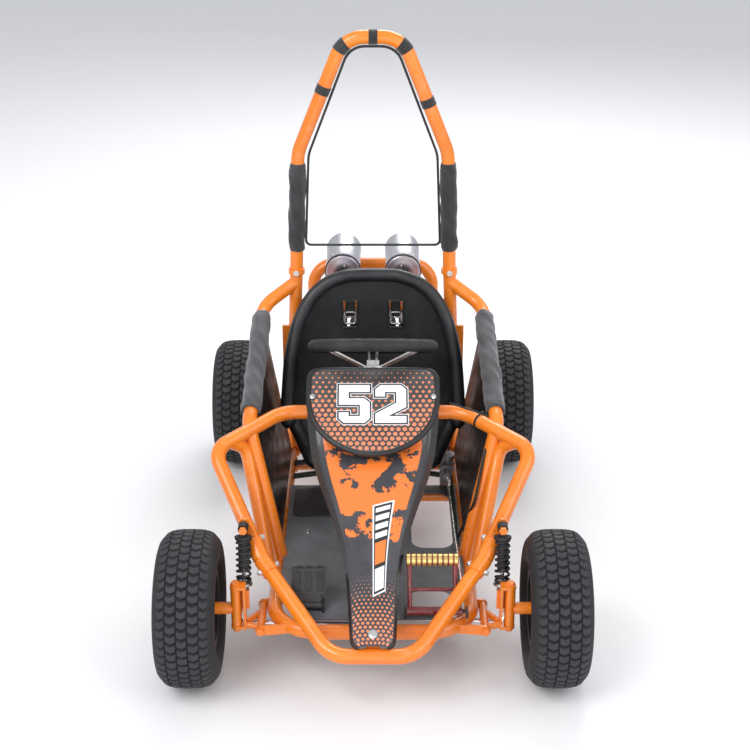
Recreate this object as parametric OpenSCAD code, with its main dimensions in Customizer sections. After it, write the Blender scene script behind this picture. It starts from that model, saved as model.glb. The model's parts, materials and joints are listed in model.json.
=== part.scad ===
// Small off-road kart: a bent-tube frame with a roll hoop, a bucket seat, a petrol engine
// with a chain drive behind it, sprung front arms and four turf tyres.
// The front is -Y and up is +Z. The origin is on the ground under the middle of the kart.

/* [Layout] */
// Distance between the front and the rear axle
wheelbase = 1000; // [960:10:1300]
// Distance between the middles of the two floor rails
rail_gap = 420; // [400:2:520]
// Distance from the middle of a floor rail to the kingpin beside it
arm_reach = 77; // [74:1:110]
// Distance from a kingpin to the middle of its front tyre
king_offset = 96; // [90:1:120]
// Distance from the middle of a floor rail to the middle of the rear tyre
rear_reach = 148; // [130:1:200]

/* [Wheels] */
// Outer diameter of each tyre
tyre_d = 330; // [275:5:400]
// Width of each tyre
tyre_w = 127; // [100:1:150]
// Diameter of each rim where the tyre sits
rim_d = 156; // [130:2:180]
// Diameter of the live rear axle
axle_d = 25; // [20:1:30]
// Diameter of each front spindle
spindle_d = 16; // [12:1:20]

/* [Frame] */
// Outer diameter of the frame tubes
tube_d = 32; // [26:0.4:38.4]
// Height of the roll hoop's top tube above the floor rails
hoop_h = 1062; // [900:1:1300]
// Height of the dash hoop above the floor rails
dash_h = 300; // [280:1:360]
// Diameter over the foam pads on the side rails
rail_pad_d = 46; // [40:1:56]
// Diameter over the foam sleeves on the roll hoop
hoop_pad_d = 42; // [38:1:56]

/* [Seat and controls] */
// Width over the wings of the seat
seat_w = 424; // [360:2:440]
// Thickness of the seat shell
seat_wall = 5; // [3:0.5:8]
// Diameter of the steering wheel
wheel_d = 300; // [260:5:340]
// Thickness of the steering wheel's grip
grip_d = 28; // [22:1:34]
// Length of the pitman arm at the foot of the steering shaft
pitman = 42; // [38:1:50]

/* [Drive] */
// Pitch of the chain
chain_pitch = 12.7; // [9.5:0.1:13]
// Number of teeth on the axle sprocket
axle_teeth = 35; // [30:1:38]
// Number of teeth on the clutch sprocket
clutch_teeth = 11; // [9:1:14]
// Diameter of the brake disc
disc_d = 150; // [120:2:156]
// Diameter of each silencer
silencer_d = 88; // [70:1:100]

/* [Hidden] */
$fn = 48;

orange = [0.95, 0.45, 0.05];
charcoal = [0.13, 0.13, 0.14];
rubber = [0.07, 0.07, 0.07];
steel = [0.78, 0.78, 0.80];
eps = 0.01;
// Clearance between a shaft and the bore that it turns or slides in
clear = 0.1;
// Gap of the ball joint in the steering line
ball_gap = 0.5;

// Main lines of the kart
tr = tube_d / 2;
xr = rail_gap / 2;
yf = -wheelbase / 2;
yr = wheelbase / 2;
zw = tyre_d / 2;
axle_r = axle_d / 2;
// The rear axle passes over the floor rails with this gap
axle_gap = 6.5;
zr = zw - axle_r - axle_gap - tr;
floor_z = zr + tr;
pan_t = 3;

// Corners of the bent tubes on the kart's left side (+X)
bumper_joint = [xr + 25, yf + 62, zr + 115];
bumper_nose = [86, yf - 145, zr + 15];
dash_corner = [xr + 138, yf + 246, zr + dash_h - 20];
dash_mid = [xr - 6, yf + 393, zr + dash_h];
brace_mid = [xr + 72, yf + 305, zr + dash_h - 45];
brace_foot = [xr + 14, yf + 165, zr + 8];
upright_top = [xr - 23, yr - 210, zr + 498];
upright_foot = [xr - 1, yr - 215, zr];
side_top = [xr - 22, yr - 210, zr + 462];
side_bend = [xr + 58, yr - 248, zr + 413];
side_front = [xr + 66, yf + 328, zr + dash_h - 3];
side_foot = [xr - 6, yf + 235, zr + 4];
hoop_shoulder = [xr - 32, yr - 210, zr + hoop_h - 274];
hoop_crown = [67, yr - 210, zr + hoop_h];
guard_foot = [xr - 50, yr + 90, zr];
guard_top = [xr - 50, yr + 145, zr + 377];

// Front suspension, left side
king_x = xr + arm_reach;
arm_x = xr + tr + 10;
arm_z = zr - 5;
king_r = 5;
ear_t = 7;
ear_low = zw - 40;
ear_high = zw + 50;
shock_low = [king_x - 14.5, yf + 31, zw + 20];
shock_high = [king_x - 14.5, yf + 70, zw + 153];
shock_axis = (shock_high - shock_low) / norm(shock_high - shock_low);
shock_eye_r = 7;
bolt_r = 3.5;
spring_r = 16;
spring_wire = 5;
spring_turns = 7;
steer_arm = 47;
tie_outer = [king_x, yf + steer_arm, zw - 66];
tie_eye_r = 9;
front_x = king_x + king_offset;
rear_x = xr + rear_reach;

// Steering line: the wheel and column lean back, the lower shaft runs down to the front
column_tilt = 24.8;
column_dir = [0, sin(column_tilt), cos(column_tilt)];
hub = [0, yf + 497, zr + 360];
knee = hub - column_dir * 209;
pitman_root = [0, yf + 30, zw - 25.4];
shaft_dir = unit(knee - pitman_root);
pitman_dir = [0, shaft_dir[2], -shaft_dir[1]];
pitman_pin = pitman_root + pitman_dir * pitman;
pin_step = 9;
column_r = 9;
dish = 52;

// Engine, chain and brake
crank = [0, yr - 150, zr + 135];
chain_x = -130;
axle_pitch_r = chain_pitch / (2 * sin(180 / axle_teeth));
clutch_pitch_r = chain_pitch / (2 * sin(180 / clutch_teeth));
tooth_t = 6;
disc_x = 120;
disc_t = 4;
silencer_x = 76;
silencer_y = yr - 100;
silencer_z = zr + 445;
silencer_l = 180;

// Pedals
throttle_x = -136;
throttle_hinge = [throttle_x, yf + 14, floor_z + 16];
brake_x = [77, 173];
brake_hinge = [0, yf - 10, floor_z + 18];
brake_foot = [0, yf + 53, floor_z + 104];
rod_r = 4;
rod_pin = [xr - tr - 4, yf + 20, floor_z + 38];
cylinder_face = [xr - tr - 14, yr - 440, floor_z + 39];

function unit(v) = v / norm(v);
function ang(a, b) = acos(max(-1, min(1, (a * b) / (norm(a) * norm(b)))));
function flip(p) = [-p[0], p[1], p[2]];
function reversed(list) = [for (i = [len(list) - 1:-1:0]) list[i]];
// Length that a bend of radius R takes from each side of the corner b
function bend_cut(a, b, c, R) = R * tan(ang(b - a, c - b) / 2);
// Points of an arc about c, from angle a0 to a1
function arc(c, r, a0, a1, n) = [for (i = [0:n]) c + r * [cos(a0 + (a1 - a0) * i / n), sin(a0 + (a1 - a0) * i / n)]];
// Smooth curve through the rows of a table; u runs from 0 to the last row
function smooth(t, u) =
    let (last = len(t) - 1, i = min(floor(u), last - 1), f = u - i,
        a = t[max(i - 1, 0)], b = t[i], c = t[i + 1], d = t[min(i + 2, last)])
    0.5 * (2 * b + (c - a) * f + (2 * a - 5 * b + 4 * c - d) * f * f + (3 * b - a - 3 * c + d) * f * f * f);

module both() {
    children();
    mirror([1, 0, 0]) children();
}

// Solid round bar between two points
module bar(a, b, r) {
    v = b - a;
    translate(a) rotate([0, acos(v[2] / norm(v)), atan2(v[1], v[0])]) cylinder(r = r, h = norm(v));
}

// Round sleeve between two points
module sleeve(a, b, ri, ro) {
    u = unit(b - a);
    difference() {
        bar(a, b, ro);
        bar(a - u, b + u, ri);
    }
}

// Part of the bend of radius R at corner b, from the share s to the share e of its angle
module elbow(a, b, c, R, r, s = 0, e = 1) {
    u = unit(b - a);
    w = unit(c - b);
    t = ang(u, w);
    n = unit(w - (w * u) * u);
    o = b - u * R * tan(t / 2) + R * n;
    k = cross(u, n);
    multmatrix([[-n[0], u[0], k[0], o[0]], [-n[1], u[1], k[1], o[1]], [-n[2], u[2], k[2], o[2]], [0, 0, 0, 1]])
        rotate([0, 0, t * s])
            rotate_extrude(angle = t * (e - s)) translate([R, 0]) circle(r = r);
}

// Bent round tube through the points p; R holds the bend radius at each point.
// Each straight runs a little way into its bends, which are a hair thicker.
module bent_tube(p, R, r) {
    last = len(p) - 1;
    into = 1;
    for (i = [0:last - 1]) {
        v = unit(p[i + 1] - p[i]);
        s = i == 0 ? 0 : bend_cut(p[i - 1], p[i], p[i + 1], R[i]) - into;
        e = i == last - 1 ? 0 : bend_cut(p[i], p[i + 1], p[i + 2], R[i + 1]) - into;
        bar(p[i] + v * s, p[i + 1] - v * e, r);
    }
    for (i = [1:last - 1]) elbow(p[i - 1], p[i], p[i + 1], R[i], r + 0.15);
}

// Closed sheet between an upper and a lower grid of points with the same rows and columns
module sheet(top, bottom) {
    m = len(top);
    n = len(top[0]);
    points = concat([for (row = top) for (p = row) p], [for (row = bottom) for (p = row) p]);
    b = m * n;
    quads = concat(
        [for (i = [0:m - 2]) for (j = [0:n - 2]) [i * n + j, i * n + j + 1, (i + 1) * n + j + 1, (i + 1) * n + j]],
        [for (i = [0:m - 2]) for (j = [0:n - 2])
            [b + i * n + j, b + (i + 1) * n + j, b + (i + 1) * n + j + 1, b + i * n + j + 1]],
        [for (j = [0:n - 2]) [j + 1, j, b + j, b + j + 1]],
        [for (j = [0:n - 2]) let (k = (m - 1) * n + j) [k, k + 1, b + k + 1, b + k]],
        [for (i = [0:m - 2]) let (k = i * n) [k, k + n, b + k + n, b + k]],
        [for (i = [0:m - 2]) let (k = i * n + n - 1) [k + n, k, b + k, b + k + n]]);
    polyhedron(points, [for (q = quads) reversed(q)]);
}

// Hexagon bolt head with its washer, seen from outside along dir
module bolt_head(at, dir, r = 6) {
    u = unit(dir);
    bar(at, at + u * 1.5, r + 2);
    v = u * 5.5;
    translate(at + u * 1.5) rotate([0, acos(u[2]), atan2(u[1], u[0])]) cylinder(r = r, h = norm(v), $fn = 6);
}

// ---- Frame ----

module lower_frame() {
    color(orange) {
        corner = 100;
        front = yf - 37;
        rear = yr + 90;
        bent_tube([[0, front, zr], [xr, front, zr], [xr, rear, zr], [-xr, rear, zr], [-xr, front, zr], [0, front, zr]],
            [0, corner, corner * 0.7, corner * 0.7, corner, 0], tr);
        for (y = [yf + 165, yr - 460, yr - 300, yr - 215, yr - 110])
            bar([-xr, y, zr], [xr, y, zr], tr * 0.8);
        both() bar([128, front, zr], bumper_nose + (bumper_joint - bumper_nose) * 0.29, tr * 0.85);
        both() arm_lugs();
        both() axle_plate();
        engine_plate();
    }
}

// Two lugs and the pivot pin that carry one front arm
module arm_lugs() {
    pin_r = 5;
    for (y = [yf - 24, yf + 76]) {
        rail_x = y < yf ? xr - 48 : xr - 3;
        difference() {
            translate([0, y, 0]) rotate([90, 0, 0]) linear_extrude(6, center = true) union() {
                translate([arm_x, arm_z]) circle(r = 11);
                polygon([[rail_x, zr - 9], [arm_x, arm_z - 11], [arm_x, arm_z + 11], [rail_x, zr + 12]]);
            }
            translate([arm_x, y - 5, arm_z]) rotate([-90, 0, 0]) cylinder(r = pin_r, h = 10);
        }
    }
    translate([arm_x, yf - 30, arm_z]) rotate([-90, 0, 0]) cylinder(r = pin_r, h = 112);
    for (y = [yf - 33, yf + 79])
        translate([arm_x, y, arm_z]) rotate([-90, 0, 0]) cylinder(r = 9, h = 6, $fn = 6);
}

// Upright plate on the inside of a rail that holds one axle bearing
module axle_plate() {
    difference() {
        translate([xr - tr - 5, yr - 36, zr - 14]) cube([6, 72, zw - zr + 46]);
        translate([xr - tr - 20, yr, zw]) rotate([0, 90, 0]) cylinder(r = axle_r + 4, h = 40);
    }
}

module engine_plate() {
    translate([-80, yr - 228, zr + tr * 0.8 - 1]) cube([160, 132, 6]);
}

module seat_frame() {
    color(orange) {
        both() bar(upright_top, upright_foot, tr);
        for (z = [zr + 235, zr + 400]) {
            x = upright_foot[0] - 22 * (z - zr) / 498;
            bar([-x, yr - 211, z], [x, yr - 211, z], tr * 0.8);
        }
        // Bolting plate beside each upright
        both() translate([xr - 15 - tr * 0.3, yr - 214 - tr - 6, zr + 225]) cube([34, 8, 130]);
        // Collar where the roll hoop is bolted on
        both() sleeve(upright_top - [0, 0, 14], upright_top, tr - 2, tr + 4);
    }
}

module side_rails() {
    color(orange) both() bent_tube([side_top, side_bend, side_front, side_foot], [0, 60, 50, 0], tr);
}

module dash_hoop() {
    color(orange) {
        bent_tube([bumper_joint, dash_corner, dash_mid, flip(dash_mid), flip(dash_corner), flip(bumper_joint)],
            [0, 50, 80, 80, 50, 0], tr);
        both() {
            brace_top = dash_corner + (dash_mid - dash_corner) * 0.21;
            bent_tube([brace_top, brace_mid, brace_foot], [0, 30, 0], tr * 0.9);
            joint_sleeve(dash_corner);
            shock_lug();
        }
    }
}

// Thicker sleeve where the bumper is bolted to the dash hoop
module joint_sleeve(toward) {
    u = unit(toward - bumper_joint);
    sleeve(bumper_joint + u * 2, bumper_joint + u * 46, tr - 2, tr + 2.5);
}

// Lug and bolt that hold the upper eye of a shock absorber
module shock_lug() {
    y = shock_high[1] + 15;
    u = unit(dash_corner - bumper_joint);
    rail = bumper_joint + u * (y + 2 - bumper_joint[1]) / u[1];
    translate([0, y + 5, 0]) rotate([90, 0, 0]) linear_extrude(5) union() {
        translate([shock_high[0], shock_high[2]]) circle(r = 12);
        polygon([[shock_high[0] - 8, shock_high[2] + 8], [rail[0] - 8, rail[2] + 4],
            [rail[0] + 8, rail[2] - 4], [shock_high[0] + 10, shock_high[2] - 6]]);
    }
    translate([shock_high[0], y + 1, shock_high[2]]) rotate([90, 0, 0]) cylinder(r = bolt_r, h = 32);
    translate([shock_high[0], y - 26, shock_high[2]]) rotate([90, 0, 0]) cylinder(r = 9, h = 5, $fn = 6);
}

module front_bumper() {
    color(orange) {
        bent_tube([bumper_joint, bumper_nose, flip(bumper_nose), flip(bumper_joint)], [0, 70, 70, 0], tr);
        both() sleeve(bumper_joint + unit(bumper_nose - bumper_joint) * 2,
            bumper_joint + unit(bumper_nose - bumper_joint) * 40, tr - 2, tr + 2.5);
        // Tab under the tip of the fairing
        translate([-14, bumper_nose[1] + 8, bumper_nose[2] + 6]) cube([28, 26, 22]);
    }
}

module roll_hoop() {
    color(orange)
        bent_tube([upright_top, hoop_shoulder, hoop_crown, flip(hoop_crown), flip(hoop_shoulder), flip(upright_top)],
            [0, 120, 70, 70, 120, 0], tr);
}

module rear_guard() {
    color(orange) bent_tube([guard_foot, guard_top, flip(guard_top), flip(guard_foot)], [0, 60, 60, 0], tr);
}

// ---- Panels ----

// Rounded rectangle between two corners
module slot_2d(a, b, r) {
    s = b - a;
    translate(a) union() {
        translate([r, 0]) square([s[0] - 2 * r, s[1]]);
        translate([0, r]) square([s[0], s[1] - 2 * r]);
        for (x = [r, s[0] - r]) for (y = [r, s[1] - r]) translate([x, y]) circle(r = r);
    }
}

module floor_pan() {
    half = xr - tr * 0.6;
    front = yf - 22;
    step = yr - 590;
    color([0.20, 0.20, 0.21]) difference() {
        union() {
            translate([0, 0, floor_z]) linear_extrude(pan_t)
                polygon([[-half, step - 30], [half, step - 30], [half, yr - 440], [-half, yr - 440]]);
            translate([0, 0, floor_z + pan_t - eps]) linear_extrude(pan_t)
                polygon([[-half, step], [-half, yf + 80], [-half + 62, front], [half - 62, front],
                    [half, yf + 80], [half, step]]);
        }
        // Slot for the pitman arm and its rods
        translate([-38, yf - 6, floor_z - 1]) cube([76, 78, 3 * pan_t]);
        translate([-14, yf, floor_z - 1]) cube([28, 102, 3 * pan_t]);
        // Two openings on the driver's left
        translate([0, 0, floor_z - 1]) linear_extrude(3 * pan_t) {
            slot_2d([88, yf + 262], [xr - 28, yr - 478], 30);
            slot_2d([80, yf + 14], [xr - 45, yf + 88], 20);
        }
    }
}

// Thin panel between each side rail and the floor rail below it
module side_panels() {
    steps = 8;
    t = 2;
    low_a = [xr, yf + 264, floor_z];
    low_b = [xr, yr - 240, floor_z];
    high_a = side_front + unit(side_bend - side_front) * 40 - [4, 0, rail_pad_d / 2];
    high_b = side_bend + unit(side_front - side_bend) * 45 - [4, 0, rail_pad_d / 2];
    function panel(off) = [for (i = [0:steps])
        let (a = low_a + (low_b - low_a) * i / steps, b = high_a + (high_b - high_a) * i / steps)
        [for (j = [0:4]) a + (b - a) * j / 4 + [off, 0, 0]]];
    color(charcoal) both() sheet(panel(-t), panel(0));
}

// Rows of the seat: y, z, half width and depth of the wings, from the front lip to the top
seat_rows = [[-275, 96, 0.70, 14], [-228, 74, 0.78, 46], [-168, 62, 0.90, 86], [-112, 74, 0.975, 108],
    [-70, 130, 1.00, 104], [-50, 208, 0.99, 84], [-40, 298, 0.955, 62], [-33, 382, 0.86, 42],
    [-30, 440, 0.71, 24], [-29, 474, 0.52, 12], [-29, 490, 0.30, 5]];

module seat() {
    rows = 30;
    cols = 24;
    last = len(seat_rows) - 1;
    // Point of the shell at row u and angle a, moved outward by t
    function shell(u, a, t) =
        let (r = smooth(seat_rows, u),
            before = smooth(seat_rows, max(u - 0.05, 0)), after = smooth(seat_rows, min(u + 0.05, last)),
            n = unit([before[1] - after[1], after[0] - before[0]]),
            half = r[2] * (seat_w / 2 - seat_wall) + t, up = (r[3] + t) * (1 - cos(a)) - t)
        [half * sin(a), yr - 210 + r[0] + n[0] * up, zr + r[1] + n[1] * up];
    color(charcoal) difference() {
        sheet([for (i = [0:rows]) [for (j = [0:cols]) shell(i * last / rows, -90 + 180 * j / cols, 0)]],
            [for (i = [0:rows]) [for (j = [0:cols]) shell(i * last / rows, -90 + 180 * j / cols, seat_wall)]]);
        // Harness slots
        both() translate([46, yr - 260, zr + 380]) cube([20, 60, 56]);
    }
}

module seat_brackets() {
    color([0.10, 0.10, 0.10]) both() {
        for (y = [yr - 394, yr - 325]) {
            translate([60, y, zr + tr * 0.8 - 1]) cube([30, 24, 46]);
            bar([90, y + 12, zr + 28], [xr - tr + 2, y + 12, zr + 12], 7);
            bolt_head([90, y + 12, zr + 42], [1, 0, 0], 5);
        }
    }
}

// Rows of the fairing from the tip to the dash: y from the front axle, z from the rails, half width, edge drop
fairing_rows = [[-146, 44, 44, 12], [-128, 52, 47, 14], [-60, 86, 51, 17], [20, 126, 58, 20], [90, 163, 72, 22],
    [160, 199, 94, 24], [225, 231, 117, 26], [290, 268, 136, 28], [350, 318, 146, 30], [390, 346, 148, 30]];

module nose_fairing() {
    rows = 30;
    cols = 16;
    wall = 4;
    last = len(fairing_rows) - 1;
    function skin(u, s, t) =
        let (r = smooth(fairing_rows, u), a = abs(s))
        [s * (r[2] - (a > 0.99 ? t * 0.2 : 0)), yf + r[0], zr + r[1] - t + (a > 0.99 ? t : 0) - r[3] * pow(a, 5)];
    color(charcoal) sheet(
        [for (i = [0:rows]) [for (j = [0:cols]) skin(i * last / rows, -1 + 2 * j / cols, 0)]],
        [for (i = [0:rows]) [for (j = [0:cols]) skin(i * last / rows, (-1 + 2 * j / cols) * 0.985, wall)]]);
}

plate_tilt = 33;
plate_low = [0, yf + 241, zr + 264];
plate_half = 150;
plate_l = 237;

module number_plate() {
    corner = 32;
    belly = 150;
    outline = concat([for (i = [0:24]) [plate_half * cos(180 + 180 * i / 24), belly + belly * sin(180 + 180 * i / 24)]],
        arc([plate_half - corner, plate_l - corner - 8], corner, 0, 80, 8),
        arc([-plate_half + corner, plate_l - corner - 8], corner, 100, 180, 8));
    color([0.22, 0.22, 0.23]) {
        translate(plate_low) rotate([plate_tilt, 0, 0]) linear_extrude(9)
            polygon(outline);
        // Stand-offs down to the dash hoop
        both() bar([60, dash_mid[1] + 4, dash_mid[2] + tr - 2], [60, dash_mid[1] - 4, dash_mid[2] + tr + 44], 6);
    }
}

// ---- Pads, straps and net ----

module rail_pads() {
    u = unit(side_front - side_bend);
    start = bend_cut(side_top, side_bend, side_front, 60) + 4;
    end = bend_cut(side_bend, side_front, side_foot, 50) + 20;
    color([0.16, 0.16, 0.17])
        both() sleeve(side_bend + u * start, side_front - u * end, tr, rail_pad_d / 2);
}

module hoop_pads() {
    u = unit(hoop_shoulder - upright_top);
    end = bend_cut(upright_top, hoop_shoulder, hoop_crown, 120) + 3;
    color([0.10, 0.10, 0.11])
        both() sleeve(upright_top + u * 48, hoop_shoulder - u * end, tr, hoop_pad_d / 2);
}

strap_t = 1.6;

module hoop_straps() {
    width = 20;
    u = unit(hoop_crown - hoop_shoulder);
    mid = (hoop_crown + hoop_shoulder) / 2;
    color(rubber) {
        sleeve([-width / 2, hoop_crown[1], hoop_crown[2]], [width / 2, hoop_crown[1], hoop_crown[2]], tr, tr + strap_t);
        sleeve(mid - u * (6 + width), mid - u * 6, tr, tr + strap_t);
        mirror([1, 0, 0]) sleeve(mid + u * 6, mid + u * (6 + width), tr, tr + strap_t);
        both() difference() {
            elbow(hoop_shoulder, hoop_crown, flip(hoop_crown), 70, tr + strap_t, 0.16, 0.46);
            elbow(hoop_shoulder, hoop_crown, flip(hoop_crown), 70, tr, 0.1, 0.6);
        }
    }
}

// Bound edge of the net that closes the roll hoop
module net_edge() {
    inset = tr + strap_t + 3;
    r = 3;
    side = hoop_pad_d / 2 + r + 0.3;
    low = upright_top + [-side, 0, 60];
    shoulder = hoop_shoulder + [-side - 1, 0, -4];
    crown = hoop_crown + [-inset * 0.65, 0, -inset - 1];
    color(rubber) bent_tube([[0, low[1], low[2]], low, shoulder, crown, flip(crown), flip(shoulder), flip(low),
        [0, low[1], low[2]]], [0, 12, 80, 50, 50, 80, 12, 0], r);
}

// ---- Seat side equipment ----

module column_bearings() {
    at = hub - column_dir * 66;
    low = pitman_root + shaft_dir * 62;
    color(orange) {
        sleeve(at - column_dir * 12, at + column_dir * 12, column_r + clear, 18);
        both() bar([12, dash_mid[1] + tr - 4, dash_mid[2]], [12, at[1] - 12, at[2] - 2], 5);
        sleeve(low - shaft_dir * 10, low + shaft_dir * 10, column_r + clear, 18);
        both() difference() {
            translate([15, low[1] - 8, floor_z + 2 * pan_t - 1]) cube([14, 16, low[2] - floor_z - 2 * pan_t + 1]);
            bar(low - shaft_dir * 30, low + shaft_dir * 30, column_r + 6.5);
        }
    }
}

module master_cylinder() {
    c = cylinder_face;
    color(steel) {
        translate([c[0] - 13, c[1] + 8, c[2] - 13]) cube([26, 52, 26]);
        difference() {
            bar(c - [0, 22, 0], c + [0, 10, 0], 9);
            bar(c - [0, 23, 0], c + [0, 8, 0], rod_r + clear);
        }
        both_sides(c[0]) bolt_head([c[0] + 13, c[1] + 20, c[2]], [1, 0, 0], 4);
        both_sides(c[0]) bolt_head([c[0] + 13, c[1] + 44, c[2]], [1, 0, 0], 4);
        // Bracket down to the floor rail
        translate([c[0] - 16, c[1] + 10, floor_z - tr * 0.4]) cube([17, 34, c[2] - 13 - floor_z + tr * 0.4 + 1]);
    }
    color(rubber) {
        translate([c[0] + 3, c[1] + 34, c[2] + 12]) cylinder(r = 11, h = 12);
        translate([c[0] + 3, c[1] + 34, c[2] + 23]) cylinder(r = 16.5, h = 9);
    }
}

// Children and their copy mirrored about the plane x = at
module both_sides(at) {
    children();
    translate([2 * at, 0, 0]) mirror([1, 0, 0]) children();
}

// ---- Engine and drive ----

cylinder_lean = -25;

module engine() {
    base = zr + tr * 0.8 + 5;
    color([0.30, 0.30, 0.32]) {
        translate([-62, yr - 193, base]) cube([124, 98, crank[2] + 45 - base]);
        translate([-70, yr - 200, base]) cube([140, 112, 8]);
        bar([chain_x + 22, crank[1], crank[2]], [-60, crank[1], crank[2]], 26);
    }
    color(steel) translate(crank) rotate([cylinder_lean, 0, 0]) {
        translate([-36, -34, 30]) cube([72, 68, 108]);
        for (i = [0:9]) translate([-48, -45, 52 + i * 8]) cube([96, 90, 3]);
    }
    color([0.12, 0.12, 0.13]) {
        translate(crank) rotate([cylinder_lean, 0, 0]) translate([-50, -40, 137]) cube([100, 80, 16]);
        // Air filter on its elbow
        bar([40, crank[1] + 58, crank[2] + 92], [66, crank[1] + 84, crank[2] + 92], 12);
        bar([66, crank[1] + 84, crank[2] + 70], [66, crank[1] + 84, crank[2] + 120], 30);
    }
    // Crankshaft stub that carries the clutch
    color(steel) bar([chain_x - 14, crank[1], crank[2]], [chain_x + 24, crank[1], crank[2]], 8);
}

module recoil_starter() {
    color(orange) {
        bar([62, crank[1], crank[2]], [84, crank[1], crank[2]], 58);
        bar([84 - eps, crank[1], crank[2]], [96, crank[1], crank[2]], 42);
    }
    color(rubber) bar([76, crank[1] - 22, crank[2] + 56], [76, crank[1] - 50, crank[2] + 78], 6);
}

module fuel_tank() {
    c = [0, yr - 211 + tr * 0.8 + 40.2, crank[2] + 185];
    color([0.13, 0.13, 0.14]) {
        translate(c) rotate([90, 0, 0]) linear_extrude(80, center = true)
            slot_2d([-56, -28], [56, 28], 14);
        translate(c + [0, 0, 26]) cylinder(r = 17, h = 14);
        // Feet down to the crankcase
        both() translate([30, c[1] - 40, crank[2] + 44]) cube([8, 20, 115]);
    }
}

module exhaust() {
    r = 11;
    tail = silencer_y - 4;
    color(steel) both() {
        bent_tube([[26, crank[1] + 36, crank[2] + 100], [silencer_x, crank[1] + 20, crank[2] + 150],
            [silencer_x, crank[1] + 12, silencer_z], [silencer_x, tail, silencer_z]], [0, 34, 24, 0], r);
        // Stays to the seat frame and to the rear guard
        bar([silencer_x, yr - 211 + tr * 0.8 + 0.2, zr + 400], [silencer_x, silencer_y + 14, silencer_z - silencer_d / 2 + 3], 5);
        bar([silencer_x, silencer_y + silencer_l - 12, silencer_z - silencer_d / 2 + 3],
            [silencer_x, guard_top[1] - tr + 3, guard_top[2] + 4], 5);
    }
}

module silencers() {
    both() translate([silencer_x, silencer_y, silencer_z]) rotate([-90, 0, 0]) {
        color(steel) difference() {
            cylinder(r = silencer_d / 2, h = silencer_l);
            translate([0, 0, silencer_l - 30]) cylinder(r = 17, h = 31);
        }
        color(rubber) difference() {
            translate([0, 0, -6]) cylinder(r = silencer_d / 2 - 9, h = 7);
            translate([0, 0, -7]) cylinder(r = 12, h = 9);
        }
    }
}

// Outline of a belt of radius r1 about c1 and r2 about c2
function belt(c1, r1, c2, r2, n) =
    let (v = c2 - c1, a = atan2(v[1], v[0]), g = acos((r1 - r2) / norm(v)))
    concat(arc(c1, r1, a + g, a + 360 - g, n), arc(c2, r2, a - g, a + g, n));

// Two rows of side plates with the sprocket teeth between them
module drive_chain() {
    h = 5;
    axle = [yr, zw];
    motor = [crank[1], crank[2]];
    color([0.45, 0.42, 0.36]) for (side = [-1, 1])
        multmatrix([[0, 0, 1, chain_x + side * 5.2 - 1.5], [1, 0, 0, 0], [0, 1, 0, 0], [0, 0, 0, 1]])
            linear_extrude(3) difference() {
                polygon(belt(axle, axle_pitch_r + h, motor, clutch_pitch_r + h, 40));
                polygon(belt(axle, axle_pitch_r - h, motor, clutch_pitch_r - h, 40));
            }
}

module axle_bearings() {
    x = xr - tr - 5;
    color(steel) both() difference() {
        union() {
            bar([x - 14, yr, zw], [x + 7, yr, zw], axle_r + 3.9);
            bar([x - 14, yr, zw], [x, yr, zw], axle_r + 12);
        }
        bar([x - 20, yr, zw], [x + 20, yr, zw], axle_r + clear);
    }
}

module brake_caliper() {
    y = yr - disc_d / 2 + 6;
    color([0.62, 0.10, 0.08]) difference() {
        translate([disc_x - 22, y - 28, zw - 4]) cube([44, 46, 56]);
        translate([disc_x - disc_t / 2 - 1, y - 22, zw - 10]) cube([disc_t + 2, 60, 70]);
    }
    color(orange) translate([disc_x - 22, yr - 110, zr + tr * 0.8 - 4])
        cube([8, y - yr + 88, zw - zr - tr * 0.8 + 10]);
}

module frame_bolts() {
    color(steel) {
        both() {
            for (target = [dash_corner, bumper_nose]) {
                u = unit(target - bumper_joint);
                n = unit(cross(u, [0, -sin(25), cos(25)]));
                for (side = [-1, 1]) {
                    at = bumper_joint + u * (target == dash_corner ? 46 : 26) + side * n * (tr + 2.2);
                    bolt_head(at, side * n, 5.5);
                }
            }
            for (z = [zr + 245, zr + 330])
                bolt_head([xr - 6, yr - 220 - tr, z], [0, -1, 0], 5.5);
            bolt_head(upright_top + [0, -tr - 3.8, -7], [0, -1, 0], 5);
            bolt_head([plate_half * 0.9, plate_low[1] + 118, plate_low[2] + 90.5], [0, -sin(33), cos(33)], 4);
        }
        bolt_head([0, bumper_nose[1] + 21, zr + 54], [0, -0.45, 0.9], 8);
        for (p = [[-150, yf + 330], [-150, yf + 150], [-60, yf + 230]])
            bolt_head([p[0], p[1], floor_z + 2 * pan_t - 0.2], [0, 0, 1], 4);
    }
}

// Cable clipped to the dash hoop and brace, and the brake hose along the rail
module cables() {
    r = 3.2;
    out = tr + r + 0.5;
    a = dash_mid + [-30, out * 0.5, out * 0.85];
    b = dash_mid + (dash_corner - dash_mid) * 0.34 + [0, out * 0.6, out * 0.85];
    back = dash_mid + (dash_corner - dash_mid) * 0.44 + [out * 0.5, out * 1.1, -4];
    c = brace_mid + [-34, -6, -10];
    d = brace_mid + (brace_foot - brace_mid) * 0.45 + [-30, 12, 2];
    color(rubber) {
        bent_tube([a, b, back, c, d, [xr - tr - 2, yf + 300, floor_z + 8], [xr - tr - 2, yr - 230, floor_z + 8]],
            [0, 20, 9, 14, 30, 20, 0], r);
        hose = cylinder_face + [0, 60, 0];
        bent_tube([hose - [0, 2, 0], hose + [0, 26, 0], [disc_x + 34, yr - 170, floor_z + 6],
            [disc_x + 18, yr - disc_d / 2 + 2, zw + 66], [disc_x + 18, yr - disc_d / 2 + 2, zw + 50]],
            [0, 14, 24, 7, 0], r);
    }
}

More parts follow.
